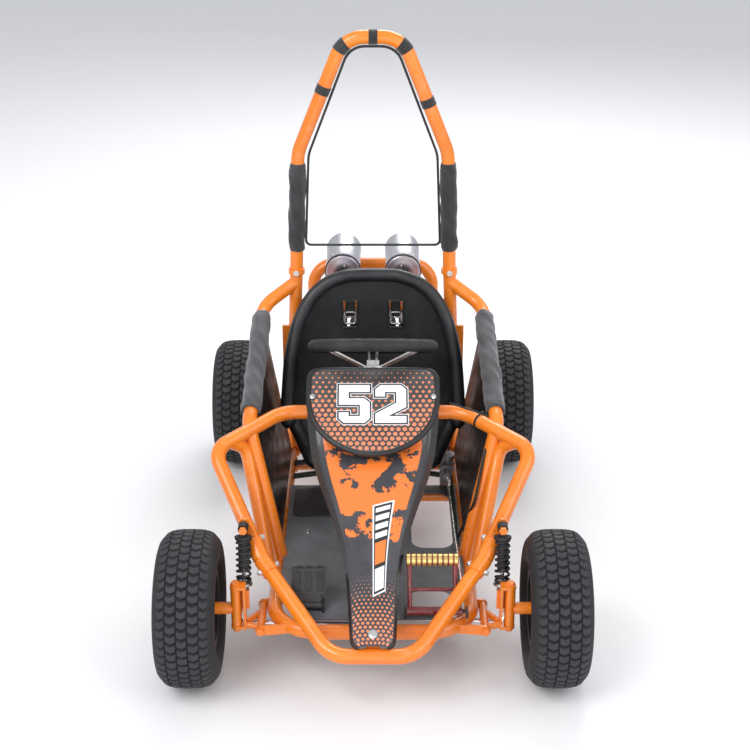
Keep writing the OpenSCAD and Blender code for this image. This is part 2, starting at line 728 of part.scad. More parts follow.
module rear_axle() {
    end = rear_x + 52;
    color(steel) {
        bar([-end, yr, zw], [end, yr, zw], axle_r);
        both() bar([end - 14, yr, zw], [end - 2, yr, zw], axle_r + 6, $fn = 6);
    }
}

// Toothed disc about the x axis
module sprocket(teeth, pitch_r, bore) {
    tooth = 5;
    rotate([0, 90, 0]) linear_extrude(tooth_t, center = true) difference() {
        polygon([for (i = [0:4 * teeth - 1])
            let (r = pitch_r + (i % 4 < 2 ? tooth : -tooth), a = 90 * (i + (i % 2 == 0 ? 0.25 : -0.25)) / teeth)
            r * [cos(a), sin(a)]]);
        circle(r = bore);
    }
}

module axle_sprocket() {
    color([0.55, 0.55, 0.56]) translate([chain_x, yr, zw]) {
        difference() {
            sprocket(axle_teeth, axle_pitch_r, axle_r);
            for (i = [0:5]) rotate([60 * i, 0, 0]) translate([-10, 0, axle_pitch_r * 0.62])
                rotate([0, 90, 0]) cylinder(r = 11, h = 20);
        }
        difference() {
            translate([tooth_t / 2 - eps, 0, 0]) rotate([0, 90, 0]) cylinder(r = axle_r + 10, h = 18);
            translate([-5, 0, 0]) rotate([0, 90, 0]) cylinder(r = axle_r, h = 40);
        }
    }
}

module brake_disc() {
    color([0.70, 0.70, 0.72]) translate([disc_x, yr, zw]) rotate([0, 90, 0]) difference() {
        union() {
            cylinder(r = disc_d / 2, h = disc_t, center = true);
            translate([0, 0, disc_t / 2 - 26]) cylinder(r = axle_r + 9, h = 24);
        }
        cylinder(r = axle_r, h = 80, center = true);
        for (i = [0:11]) rotate([0, 0, 30 * i]) translate([disc_d * 0.38, 0, -5]) cylinder(r = 4.5, h = 10);
    }
}

// ---- Wheels, drawn about the x axis with the outside toward +X ----

rim_wall = 4;
rim_half = tyre_w / 2 - 12;
hub_in = -34;
hub_out = 24;

module rim(bore, hub_r) {
    color(charcoal) rotate([0, 90, 0]) difference() {
        union() {
            rotate_extrude() polygon([[rim_d / 2 - rim_wall, -rim_half], [rim_d / 2 + 9, -rim_half],
                [rim_d / 2 + 9, -rim_half + 4], [rim_d / 2, -rim_half + 7], [rim_d / 2, rim_half - 7],
                [rim_d / 2 + 9, rim_half - 4], [rim_d / 2 + 9, rim_half], [rim_d / 2 - rim_wall, rim_half]]);
            translate([0, 0, -4]) cylinder(r = rim_d / 2 - rim_wall / 2, h = 7);
            translate([0, 0, hub_in]) cylinder(r = hub_r, h = hub_out - hub_in);
        }
        translate([0, 0, -70]) cylinder(r = bore, h = 140);
        for (i = [0:4]) rotate([0, 0, 72 * i]) translate([rim_d * 0.34, 0, -10]) cylinder(r = 10, h = 20);
    }
}

module tyre() {
    wall = 9;
    bead = rim_d / 2;
    w = tyre_w / 2;
    shoulder = 22;
    seat = rim_half - 4.5;
    outer = concat([[bead + 0.2, -rim_half + 9], [bead + 9.5, -seat], [bead + 9.5, -w + 9], [bead + 32, -w]],
        arc([zw - shoulder, -w + shoulder], shoulder, -90, -14, 6), [[zw, 0]],
        arc([zw - shoulder, w - shoulder], shoulder, 14, 90, 6),
        [[bead + 32, w], [bead + 9.5, w - 9], [bead + 9.5, seat], [bead + 0.2, rim_half - 9]]);
    inner = [[bead + 0.2, rim_half - 16], [bead + wall, rim_half - 14], [bead + 30, w - wall], [zw - shoulder, w - wall], [zw - wall, w - shoulder],
        [zw - wall, -w + shoulder], [zw - shoulder, -w + wall], [bead + 30, -w + wall],
        [bead + wall, -rim_half + 14], [bead + 0.2, -rim_half + 16]];
    color(rubber) rotate([0, 90, 0]) rotate_extrude($fn = 96) polygon(concat(outer, inner));
}

module front_wheel_place() {
    translate([front_x, yf, zw]) children();
}

module front_rim_left() {
    front_wheel_place() rim(spindle_d / 2 + clear, 19);
}

module front_rim_right() {
    mirror([1, 0, 0]) front_rim_left();
}

module front_tyre_left() {
    front_wheel_place() tyre();
}

module front_tyre_right() {
    mirror([1, 0, 0]) front_tyre_left();
}

module rear_rims() {
    both() translate([rear_x, yr, zw]) rim(axle_r, axle_r + 11);
}

module rear_tyres() {
    both() translate([rear_x, yr, zw]) tyre();
}

module clutch_sprocket() {
    color(steel) translate([chain_x, crank[1], crank[2]]) {
        sprocket(clutch_teeth, clutch_pitch_r, 8 + clear);
        difference() {
            translate([-tooth_t / 2 - 10, 0, 0]) rotate([0, 90, 0]) cylinder(r = 15, h = 10);
            translate([-40, 0, 0]) rotate([0, 90, 0]) cylinder(r = 8 + clear, h = 60);
        }
    }
}

// ---- Front suspension and steering ----

module front_arm_left() {
    plate_x = king_x - 21;
    color(orange) {
        difference() {
            translate([arm_x, yf - 20, arm_z]) rotate([-90, 0, 0]) cylinder(r = 9, h = 92);
            translate([arm_x, yf - 30, arm_z]) rotate([-90, 0, 0]) cylinder(r = 5 + clear, h = 120);
        }
        for (y = [yf - 12, yf + 50])
            difference() {
                bar([arm_x, y, arm_z], [plate_x + 2, y < yf ? yf - 5 : yf + 5, ear_low + 2], 7);
                translate([arm_x, yf - 30, arm_z]) rotate([-90, 0, 0]) cylinder(r = 5 + clear, h = 120);
            }
        // C-shaped bracket for the kingpin
        translate([plate_x, yf - 12, ear_low - ear_t]) cube([5, 24, ear_high - ear_low + 2 * ear_t]);
        for (z = [ear_low - ear_t, ear_high]) difference() {
            union() {
                translate([plate_x, yf - 12, z]) cube([21, 24, ear_t]);
                translate([king_x, yf, z]) cylinder(r = 12, h = ear_t);
            }
            translate([king_x, yf, z - 1]) cylinder(r = king_r, h = ear_t + 2);
        }
        // Ear for the lower eye of the shock absorber
        translate([plate_x - 6, yf + 12, zw - 10]) cube([22, 5, 44]);
    }
    color(steel) {
        translate([king_x, yf, ear_low - ear_t - 7]) cylinder(r = king_r, h = ear_high - ear_low + 2 * ear_t + 10);
        translate([king_x, yf, ear_high + ear_t]) cylinder(r = 9, h = 7, $fn = 6);
        translate([king_x, yf, ear_low - ear_t - 7]) cylinder(r = 9, h = 7, $fn = 6);
        translate([shock_low[0], yf + 16, shock_low[2]]) rotate([-90, 0, 0]) cylinder(r = bolt_r, h = 34);
        translate([shock_low[0], yf + 46, shock_low[2]]) rotate([-90, 0, 0]) cylinder(r = 9, h = 5, $fn = 6);
    }
}

module front_arm_right() {
    mirror([1, 0, 0]) front_arm_left();
}

module knuckle_left() {
    low = ear_low + 0.5;
    color(orange) {
        difference() {
            union() {
                translate([king_x, yf, low]) cylinder(r = 11, h = ear_high - ear_low - 1);
                // Steering arm
                translate([king_x - 7, yf, low]) cube([14, steer_arm, 7]);
                translate([king_x, tie_outer[1], low]) cylinder(r = 9, h = 7);
            }
            translate([king_x, yf, low - 1]) cylinder(r = king_r + clear, h = ear_high - ear_low + 2);
        }
    }
    color(steel) {
        difference() {
            translate([king_x, yf, zw]) rotate([0, 90, 0]) cylinder(r = spindle_d / 2, h = king_offset + 40);
            translate([king_x, yf, low - 1]) cylinder(r = 10, h = ear_high - ear_low + 2);
        }
        // Collar behind the wheel hub and nut outside it
        translate([king_x + 12, yf, zw]) rotate([0, 90, 0]) cylinder(r = 13, h = king_offset + hub_in - 13);
        translate([front_x + hub_out + 1, yf, zw]) rotate([0, 90, 0]) cylinder(r = 12, h = 9, $fn = 6);
        translate([king_x, yf + steer_arm, tie_outer[2] - 9]) cylinder(r = bolt_r, h = low - tie_outer[2] + 10);
        translate([king_x, yf + steer_arm, tie_outer[2] - 11]) cylinder(r = 12, h = 2);
    }
}

module knuckle_right() {
    mirror([1, 0, 0]) knuckle_left();
}

module shock_body_left() {
    top = shock_high - shock_axis * 17;
    color(charcoal) {
        difference() {
            union() {
                bar(shock_high - [0, 9, 0], shock_high + [0, 9, 0], shock_eye_r + 4);
                bar(shock_high - shock_axis * 6, top - shock_axis, 6.5);
                bar(top, shock_high - shock_axis * 88, 11);
            }
            bar(shock_high - [0, 20, 0], shock_high + [0, 20, 0], bolt_r + clear);
            bar(shock_high - shock_axis * 34, shock_high - shock_axis * 100, 4 + clear);
        }
        difference() {
            bar(top - shock_axis, top - shock_axis * 6, spring_r + spring_wire / 2);
            bar(top, top - shock_axis * 30, 10.5);
        }
    }
}

module shock_body_right() {
    mirror([1, 0, 0]) shock_body_left();
}

module shock_rod_left() {
    color(steel) bar(shock_low + shock_axis * 9, shock_low + shock_axis * 86, 4);
    color(charcoal) {
        difference() {
            union() {
                bar(shock_low - [0, 8, 0], shock_low + [0, 8, 0], shock_eye_r + 4);
                bar(shock_low + shock_axis * 8, shock_low + shock_axis * 20, 9);
            }
            bar(shock_low - [0, 20, 0], shock_low + [0, 20, 0], shock_eye_r);
        }
        bar(shock_low + shock_axis * 15, shock_low + shock_axis * 20, spring_r + spring_wire / 2);
    }
}

module shock_rod_right() {
    mirror([1, 0, 0]) shock_rod_left();
}

// Coil spring between the two seats, as one swept wire
module spring_left() {
    per_turn = 14;
    low = 20.3 + spring_wire / 2;
    high = norm(shock_high - shock_low) - 23.3 - spring_wire / 2;
    side = [1, 0, 0];
    ahead = cross(shock_axis, side);
    n = spring_turns * per_turn;
    wire_sides = 8;
    function coil(i) = shock_low + shock_axis * (low + (high - low) * i / n)
        + spring_r * (side * cos(360 * i / per_turn) + ahead * sin(360 * i / per_turn));
    function ring(i) =
        let (radial = side * cos(360 * i / per_turn) + ahead * sin(360 * i / per_turn))
        [for (k = [0:wire_sides - 1]) coil(i)
            + spring_wire / 2 * (radial * cos(360 * k / wire_sides) + shock_axis * sin(360 * k / wire_sides))];
    points = [for (i = [0:n]) for (p = ring(i)) p];
    m = wire_sides;
    color(rubber) polyhedron(points, concat(
        [[for (k = [0:m - 1]) k]],
        [for (i = [0:n - 1]) for (k = [0:m - 1])
            [i * m + k, (i + 1) * m + k, (i + 1) * m + (k + 1) % m, i * m + (k + 1) % m]],
        [[for (k = [m - 1:-1:0]) n * m + k]]));
}

module spring_right() {
    mirror([1, 0, 0]) spring_left();
}

module steering_wheel() {
    color(rubber) translate(hub + column_dir * dish) rotate([-column_tilt, 0, 0])
        rotate_extrude($fn = 96) translate([(wheel_d - grip_d) / 2, 0]) circle(r = grip_d / 2, $fn = 32);
    color(steel) translate(hub) rotate([-column_tilt, 0, 0]) {
        for (a = [90, 210, 330]) rotate([0, 0, a]) for (side = [-7, 7])
            bar([20, side, 2], [(wheel_d - grip_d) / 2 - grip_d * 0.3, side * 1.5, dish - 4], 3.5);
        translate([0, 0, -4]) cylinder(r = 32, h = 9);
        translate([-14, -14, 4]) cube([28, 28, 16]);
    }
}

module steering_column() {
    color([0.45, 0.45, 0.47]) {
        bar(knee + column_dir * 12, hub - column_dir * 3.5, column_r);
        translate(knee) sphere(r = 15);
        for (side = [-1, 1])
            bar(hub - column_dir * (66 + side * 13), hub - column_dir * (66 + side * 18), column_r + 5);
    }
}

module steering_shaft() {
    color([0.45, 0.45, 0.47]) {
        difference() {
            union() {
                bar(pitman_root, knee - shaft_dir * 12, column_r);
                bar(knee - shaft_dir * 26, knee - shaft_dir * 3, 19);
            }
            translate(knee) sphere(r = 15 + ball_gap);
        }
        for (s = [-1, 1])
            bar(pitman_root + shaft_dir * (62 + s * 11), pitman_root + shaft_dir * (62 + s * 15), column_r + 5);
        // Pitman arm with the pin for both tie rods
        difference() {
            union() {
                bar(pitman_root - shaft_dir * 3, pitman_root + shaft_dir * 5, 15);
                bar(pitman_pin - shaft_dir * 3, pitman_pin + shaft_dir * 3, 10);
                multmatrix([[1, 0, 0, pitman_root[0]], [0, pitman_dir[1], shaft_dir[1], pitman_root[1]],
                    [0, pitman_dir[2], shaft_dir[2], pitman_root[2]], [0, 0, 0, 1]])
                    translate([-8, 0, -3]) cube([16, pitman, 6]);
            }
        }
        bar(pitman_pin - shaft_dir * (pin_step + 8), pitman_pin + shaft_dir * (pin_step + 8), bolt_r);
        for (s = [-1, 1])
            bar(pitman_pin + shaft_dir * s * (pin_step + 6), pitman_pin + shaft_dir * s * (pin_step + 10), 6.5);
    }
}

// Ball end on the pitman pin: the left rod sits behind the arm and the right rod in front of it
module rod_end(s) {
    at = pitman_pin + shaft_dir * s * pin_step;
    color(steel) difference() {
        union() {
            bar(at - shaft_dir * 4.5, at + shaft_dir * 4.5, 8);
            bar(at, at + [s * 17, 0, 0], 3.8);
        }
        bar(at - shaft_dir * 10, at + shaft_dir * 10, bolt_r + clear);
    }
}

module rod_end_left() {
    rod_end(1);
}

module rod_end_right() {
    rod_end(-1);
}

// Tie rod from its ball end to the open eye round the stud of the steering arm
module tie_rod(s) {
    start = pitman_pin + shaft_dir * s * pin_step + [s * 17.3, 0, 0];
    eye = [s * king_x, yf + steer_arm, tie_outer[2]];
    u = unit(eye - start);
    color(steel) {
        bar(start, eye - u * (tie_eye_r + 2), 5);
        bar(start + u * 6, start + u * 16, 8.5, $fn = 6);
        bar(eye - u * 38, eye - u * 28, 8.5, $fn = 6);
        difference() {
            translate(eye - [0, 0, 4]) cylinder(r = tie_eye_r + 4, h = 8);
            translate(eye - [0, 0, 5]) cylinder(r = tie_eye_r, h = 10);
        }
    }
}

module tie_rod_left() {
    tie_rod(1);
}

module tie_rod_right() {
    tie_rod(-1);
}

// ---- Pedals ----

module throttle_pedal() {
    h = throttle_hinge;
    color(rubber) difference() {
        union() {
            translate(h) rotate([0, 90, 0]) cylinder(r = 9, h = 56, center = true);
            translate([h[0] - 36, h[1], h[2]]) rotate([-28, 0, 0]) {
                translate([11, -4, 4]) cube([50, 8, 30]);
                translate([0, -6, 24]) cube([72, 12, 54]);
                translate([0, 0, 70]) cube([72, 22, 10]);
                for (x = [1, 66]) translate([x, 0, 25]) cube([5, 21, 52]);
            }
        }
        translate(h) rotate([0, 90, 0]) cylinder(r = 4 + clear, h = 90, center = true);
    }
}

module brake_pedal() {
    h = brake_hinge;
    f = brake_foot;
    ends = [brake_x[0], brake_x[1]];
    color([0.45, 0.05, 0.06]) {
        difference() {
            union() {
                bar([ends[0] - 6, h[1], h[2]], [rod_pin[0] - 4, h[1], h[2]], 9);
                for (x = ends) bar([x, h[1], h[2]], [x, f[1], f[2]], 5);
            }
            bar([0, h[1], h[2]], [xr + 20, h[1], h[2]], 4 + clear);
        }
        mid = (h * 0.58 + f * 0.42);
        bar([ends[0], mid[1], mid[2]], [ends[1], mid[1], mid[2]], 4);
        // Lever and pin for the brake rod
        lever = unit([0, rod_pin[1] - h[1], rod_pin[2] - h[2]]);
        bar([rod_pin[0] - 9, h[1], h[2]] + lever * 7, [rod_pin[0] - 9, rod_pin[1], rod_pin[2]] + lever * 5, 5);
        bar([rod_pin[0] - 12, rod_pin[1], rod_pin[2]], [rod_pin[0] + 7, rod_pin[1], rod_pin[2]], bolt_r);
    }
    color([0.85, 0.65, 0.20]) bar([ends[0] - 7, f[1], f[2]], [ends[1] + 7, f[1], f[2]], 13);
}

// Rod with a slotted end plate round the pedal pin; it slides into the master cylinder
module brake_rod() {
    a = rod_pin + [0.5, 0, 0];
    color(steel) {
        difference() {
            translate([a[0] - 2.5, a[1] - 9, a[2] - 22]) cube([4, 22, 38]);
            translate([a[0] - 4, a[1] - 4.5, a[2] - 5]) cube([8, 9, 18]);
        }
        bar([a[0], a[1] + 12, a[2] - 16], [cylinder_face[0], cylinder_face[1] - 30, cylinder_face[2]], rod_r - 0.5);
        bar([cylinder_face[0], cylinder_face[1] - 36, cylinder_face[2]],
            [cylinder_face[0], cylinder_face[1] - 4, cylinder_face[2]], rod_r);
    }
}

module pedal_brackets() {
    base = floor_z + 2 * pan_t;
    color(charcoal) {
        for (x = [throttle_x - 33.5, throttle_x + 28.5])
            translate([x, throttle_hinge[1] - 12, base - 0.5]) cube([5, 24, 22]);
        bar([throttle_x - 34, throttle_hinge[1], throttle_hinge[2]],
            [throttle_x + 34, throttle_hinge[1], throttle_hinge[2]], 4);
        for (x = [brake_x[0] - 12, xr - 15.5])
            translate([x, brake_hinge[1] - 9, base - 0.5]) cube([5, 18, 18]);
        bar([brake_x[0] - 12, brake_hinge[1], brake_hinge[2]], [xr - 10, brake_hinge[1], brake_hinge[2]], 4);
    }
}

lower_frame();
seat_frame();
side_rails();
dash_hoop();
front_bumper();
roll_hoop();
rear_guard();
floor_pan();
side_panels();
seat();
seat_brackets();
nose_fairing();
number_plate();
rail_pads();
hoop_pads();
hoop_straps();
net_edge();
column_bearings();
master_cylinder();
engine();
recoil_starter();
fuel_tank();
exhaust();
silencers();
drive_chain();
axle_bearings();
brake_caliper();
frame_bolts();
cables();
rear_axle();
axle_sprocket();
brake_disc();
rear_rims();
rear_tyres();
clutch_sprocket();
front_rim_left();
front_rim_right();
front_tyre_left();
front_tyre_right();
knuckle_left();
knuckle_right();
front_arm_left();
front_arm_right();
shock_body_left();
shock_body_right();
shock_rod_left();
shock_rod_right();
spring_left();
spring_right();
steering_wheel();
steering_column();
steering_shaft();
rod_end_left();
rod_end_right();
tie_rod_left();
tie_rod_right();
throttle_pedal();
brake_pedal();
brake_rod();
pedal_brackets();
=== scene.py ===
import bmesh
import bpy
import json
import math
import numpy as np
from mathutils import Matrix, Vector


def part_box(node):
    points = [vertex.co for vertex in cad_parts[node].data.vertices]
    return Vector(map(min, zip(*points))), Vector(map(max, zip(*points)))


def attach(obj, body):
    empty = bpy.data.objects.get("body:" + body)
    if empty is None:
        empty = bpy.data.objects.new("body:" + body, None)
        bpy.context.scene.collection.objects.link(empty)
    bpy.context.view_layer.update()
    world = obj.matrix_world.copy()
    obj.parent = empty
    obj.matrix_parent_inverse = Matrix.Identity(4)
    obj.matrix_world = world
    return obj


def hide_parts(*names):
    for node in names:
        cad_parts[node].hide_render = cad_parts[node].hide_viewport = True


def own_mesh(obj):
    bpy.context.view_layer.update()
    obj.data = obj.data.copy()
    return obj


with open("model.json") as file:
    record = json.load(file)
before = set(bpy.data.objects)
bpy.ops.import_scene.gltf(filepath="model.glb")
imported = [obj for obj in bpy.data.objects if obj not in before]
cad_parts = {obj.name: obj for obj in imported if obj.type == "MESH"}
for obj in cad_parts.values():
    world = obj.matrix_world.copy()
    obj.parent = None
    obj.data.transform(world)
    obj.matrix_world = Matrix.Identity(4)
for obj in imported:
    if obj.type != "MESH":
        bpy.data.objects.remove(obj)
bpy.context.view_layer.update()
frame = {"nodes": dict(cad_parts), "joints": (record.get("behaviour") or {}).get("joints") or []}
joints = frame["joints"]

# camera, floor and light

view = {"place": (0.0, -3.1532, 1.9272), "lookDown": 24.76, "lens": 71.97, "shiftX": 0.0027}

cameraData = bpy.data.cameras.new("camera")
cameraData.lens = view["lens"]
cameraData.shift_x = view["shiftX"]
camera = bpy.data.objects.new("camera", cameraData)
camera.location = view["place"]
camera.rotation_euler = (math.radians(90 - view["lookDown"]), 0, 0)
bpy.context.scene.collection.objects.link(camera)
bpy.context.scene.camera = camera


def addObject(name, mesh):
    piece = bpy.data.objects.new(name, mesh)
    bpy.context.scene.collection.objects.link(piece)
    return piece


def addLight(name, place, target, size, power, tint=(1, 1, 1)):
    data = bpy.data.lights.new(name, "AREA")
    data.size = size
    data.energy = power
    data.color = tint
    lamp = bpy.data.objects.new(name, data)
    lamp.location = place
    lamp.rotation_euler = (Vector(target) - Vector(place)).to_track_quat("-Z", "Y").to_euler()
    bpy.context.scene.collection.objects.link(lamp)


addLight("keyLight", (-2.2, -2.6, 3.6), (0, 0, 0.4), 2.6, 112)
addLight("fillLight", (2.8, -2.0, 2.6), (0, 0, 0.4), 3.0, 62)
addLight("rimLight", (0.6, 3.2, 3.2), (0, 0.2, 0.6), 2.4, 90)
addLight("frontLight", (0.0, -3.6, 0.9), (0, 0, 0.4), 1.8, 16)
world = bpy.data.worlds.new("studio")
world.use_nodes = True
world.node_tree.nodes["Background"].inputs[0].default_value = (0.95, 0.96, 1.0, 1)
world.node_tree.nodes["Background"].inputs[1].default_value = 0.72
bpy.context.scene.world = world
bpy.context.scene.view_settings.view_transform = "Standard"

# node helpers


class NodeSheet:
    # a material's node tree with short calls for the nodes used here
    def __init__(self, name):
        self.material = bpy.data.materials.new(name)
        self.material.use_nodes = True
        self.tree = self.material.node_tree
        self.shader = self.tree.nodes["Principled BSDF"]
        self.coords = None

    def plug(self, socket, value):
        if isinstance(value, bpy.types.NodeSocket):
            self.tree.links.new(value, socket)
        else:
            socket.default_value = value

    def math(self, kind, a, b=0.0, c=None):
        node = self.tree.nodes.new("ShaderNodeMath")
        node.operation = kind
        for socket, value in zip(node.inputs, (a, b) if c is None else (a, b, c)):
            self.plug(socket, value)
        return node.outputs[0]

    def objectPlace(self):
        if self.coords is None:
            self.coords = self.tree.nodes.new("ShaderNodeTexCoord")
        return self.coords.outputs["Object"]

    def uv(self):
        if self.coords is None:
            self.coords = self.tree.nodes.new("ShaderNodeTexCoord")
        return self.coords.outputs["UV"]

    def parts(self, vector):
        node = self.tree.nodes.new("ShaderNodeSeparateXYZ")
        self.plug(node.inputs[0], vector)
        return node.outputs

    def noise(self, scale, detail=3.0, rough=0.55, vector=None):
        node = self.tree.nodes.new("ShaderNodeTexNoise")
        self.plug(node.inputs["Vector"], vector or self.objectPlace())
        node.inputs["Scale"].default_value = scale
        node.inputs["Detail"].default_value = detail
        node.inputs["Roughness"].default_value = rough
        return node.outputs["Fac"]

    def cells(self, scale, vector=None):
        node = self.tree.nodes.new("ShaderNodeTexVoronoi")
        self.plug(node.inputs["Vector"], vector or self.objectPlace())
        node.inputs["Scale"].default_value = scale
        return node.outputs["Distance"]

    def ramp(self, value, low, high, outLow=0.0, outHigh=1.0):
        node = self.tree.nodes.new("ShaderNodeMapRange")
        node.interpolation_type = "SMOOTHSTEP"
        for socket, number in zip(node.inputs, (value, low, high, outLow, outHigh)):
            self.plug(socket, number)
        return node.outputs[0]

    def mix(self, share, a, b):
        node = self.tree.nodes.new("ShaderNodeMix")
        node.data_type = "RGBA"
        self.plug(node.inputs["Factor"], share)
        for socket, colour in zip((node.inputs[6], node.inputs[7]), (a, b)):
            self.plug(socket, colour if isinstance(colour, bpy.types.NodeSocket) else (*colour, 1))
        return node.outputs[2]

    def bump(self, height, strength, distance=0.001, after=None):
        node = self.tree.nodes.new("ShaderNodeBump")
        node.inputs["Strength"].default_value = strength
        node.inputs["Distance"].default_value = distance
        self.plug(node.inputs["Height"], height)
        if after is not None:
            self.plug(node.inputs["Normal"], after)
        return node.outputs[0]

    def finish(self, colour, rough, normal=None, **fixed):
        self.plug(self.shader.inputs["Base Color"],
                  colour if isinstance(colour, bpy.types.NodeSocket) else (*colour, 1))
        self.plug(self.shader.inputs["Roughness"], rough)
        if normal is not None:
            self.plug(self.shader.inputs["Normal"], normal)
        for name, value in fixed.items():
            self.shader.inputs[name.replace("_", " ")].default_value = value
        return self.material


# materials


def paintedTube(name, colour, dark, rough=0.28):
    # powder coat: soft colour drift, fine orange peel, dust in large patches
    s = NodeSheet(name)
    tone = s.mix(s.ramp(s.noise(5.0), 0.35, 0.7), colour, dark)
    dust = s.math("MULTIPLY", s.ramp(s.noise(38.0, 5), 0.55, 0.75), 0.12)
    tone = s.mix(dust, tone, (0.75, 0.6, 0.45))
    gloss = s.ramp(s.noise(60.0, 4), 0.3, 0.7, rough - 0.05, rough + 0.1)
    return s.finish(tone, gloss, s.bump(s.noise(420.0, 2), 0.10, 0.0006), Coat_Weight=0.35,
                    Coat_Roughness=0.12)


def mouldedPlastic(name, colour, rough=0.45, grain=0.25, size=900.0):
    # fine leather-like grain and faint scuffs
    s = NodeSheet(name)
    lighter = tuple(min(1, c * 1.7 + 0.006) for c in colour)
    tone = s.mix(s.ramp(s.noise(9.0, 5), 0.4, 0.75), colour, lighter)
    scuff = s.math("MULTIPLY", s.ramp(s.noise(140.0, 6, 0.7), 0.62, 0.8), 0.25)
    tone = s.mix(scuff, tone, (0.12, 0.12, 0.125))
    gloss = s.ramp(s.noise(30.0, 4), 0.3, 0.7, rough - 0.07, rough + 0.1)
    return s.finish(tone, gloss, s.bump(s.cells(size), grain, 0.0004))


def plainMetal(name, colour, rough, streak=(1, 1, 60), bumpSize=0.08, **fixed):
    # plated or brushed metal with drawn streaks and small stains
    s = NodeSheet(name)
    stretch = s.tree.nodes.new("ShaderNodeMapping")
    s.plug(stretch.inputs[0], s.objectPlace())
    stretch.inputs["Scale"].default_value = streak
    lines = s.noise(24.0, 4, 0.6, stretch.outputs[0])
    darker = tuple(c * 0.62 for c in colour)
    tone = s.mix(s.ramp(s.noise(70.0, 5), 0.45, 0.8), colour, darker)
    gloss = s.ramp(lines, 0.3, 0.7, rough * 0.7, rough * 1.5)
    return s.finish(tone, gloss, s.bump(lines, bumpSize, 0.0004), Metallic=1.0, **fixed)


def wovenCloth(name, colour, thread=1500.0, mapped=True):
    # plain weave from two crossed waves, on the piece's own UV map in metres or on its object place
    s = NodeSheet(name)
    place = s.parts(s.uv() if mapped else s.objectPlace())
    warp = s.math("SINE", s.math("MULTIPLY", place[0], thread))
    weft = s.math("SINE", s.math("MULTIPLY", place[1], thread))
    weave = s.math("MULTIPLY", warp, weft)
    lighter = tuple(c * 2.1 + 0.01 for c in colour)
    tone = s.mix(s.ramp(s.noise(16.0, 5), 0.35, 0.75), colour, lighter)
    folds = s.bump(s.noise(26.0, 3), 0.35, 0.003)
    return s.finish(tone, 0.72, s.bump(weave, 0.25, 0.0004, folds), Sheen_Weight=0.35, Sheen_Roughness=0.5)


def tyreRubber():
    s = NodeSheet("turfRubber")
    place = s.noise(22.0, 5)
    tone = s.mix(s.ramp(place, 0.4, 0.75), (0.008, 0.008, 0.009), (0.017, 0.017, 0.019))
    dust = s.math("MULTIPLY", s.ramp(s.noise(6.0, 6, 0.65), 0.5, 0.75), 0.35)
    tone = s.mix(dust, tone, (0.030, 0.029, 0.028))
    # the tops of the tread blocks are painted paler than the grooves and walls: painted highlight on the
    # block tops, painted shade in the grooves
    level = s.tree.nodes.new("ShaderNodeAttribute")
    level.attribute_name = "lug"
    tone = s.mix(s.ramp(level.outputs["Fac"], 0.5, 1.0, 0.0, 0.8), tone, (0.029, 0.030, 0.034))
    return s.finish(tone, s.ramp(place, 0.3, 0.7, 0.62, 0.82), s.bump(s.noise(500.0, 3), 0.25, 0.0005))


def silencerSteel():
    # polished steel with a straw heat band along its length; the violet-blue patches are painted reflection,
    # the bluish tint of the highlights painted into the colour
    s = NodeSheet("heatTintedSteel")
    along = s.parts(s.objectPlace())[1]
    hot = s.ramp(s.math("ADD", along, s.math("MULTIPLY", s.noise(7.0), 0.05)), 0.42, 0.50)
    tone = s.mix(hot, (0.50, 0.45, 0.47), (0.56, 0.57, 0.60))
    # violet-blue patches: painted reflection of the bluish highlights
    paintedBlueSheen = s.math("MULTIPLY", s.ramp(s.noise(9.0, 3), 0.5, 0.62), 0.5)
    tone = s.mix(paintedBlueSheen, tone, (0.40, 0.39, 0.55))
    return s.finish(tone, s.ramp(s.noise(14.0, 3), 0.3, 0.7, 0.34, 0.42), None, Metallic=1.0)


def printedDots(s, x, y, cell, radius):
    # staggered round dots: 1 inside a dot whose radius is a share of the cell
    tall = cell * 0.866
    row = s.math("FLOOR", s.math("DIVIDE", y, tall))
    odd = s.math("MULTIPLY", s.math("PINGPONG", row, 1.0), 0.5)
    fx = s.math("SUBTRACT", s.math("FRACT", s.math("ADD", s.math("DIVIDE", x, cell),
                                                   s.math("ADD", odd, 100.0))), 0.5)
    fy = s.math("SUBTRACT", s.math("FRACT", s.math("ADD", s.math("DIVIDE", y, tall), 100.0)), 0.5)
    far = s.math("SQRT", s.math("ADD", s.math("MULTIPLY", fx, fx),
                                s.math("MULTIPLY", s.math("MULTIPLY", fy, fy), 0.75)))
    return s.ramp(s.math("SUBTRACT", radius, far), -0.02, 0.02)


dotOrange = (0.72, 0.235, 0.115)


def platePrint():
    # dots that grow to the sides and the bottom, none in a wedge at the middle of the top
    s = NodeSheet("platePrint")
    place = s.parts(s.uv())
    side = s.math("ABSOLUTE", place[0])
    drop = s.math("SUBTRACT", 0.235, place[1])
    grow = s.math("ADD", s.math("MULTIPLY", side, 1.1), s.math("MULTIPLY", drop, 2.1))
    radius = s.ramp(grow, 0.02, 0.46, 0.08, 0.36)
    dots = printedDots(s, place[0], place[1], 0.0140, radius)
    inside = s.ramp(s.math("MULTIPLY", side, side), 0.0196, 0.0192)
    base = s.mix(s.ramp(s.noise(12.0, 4), 0.35, 0.7), (0.050, 0.046, 0.047), (0.085, 0.076, 0.074))
    tone = s.mix(s.math("MULTIPLY", dots, inside), base, dotOrange)
    return s.finish(tone, s.ramp(s.noise(50.0), 0.3, 0.7, 0.2, 0.32), s.bump(s.noise(120.0), 0.05),
                    Coat_Weight=0.4)


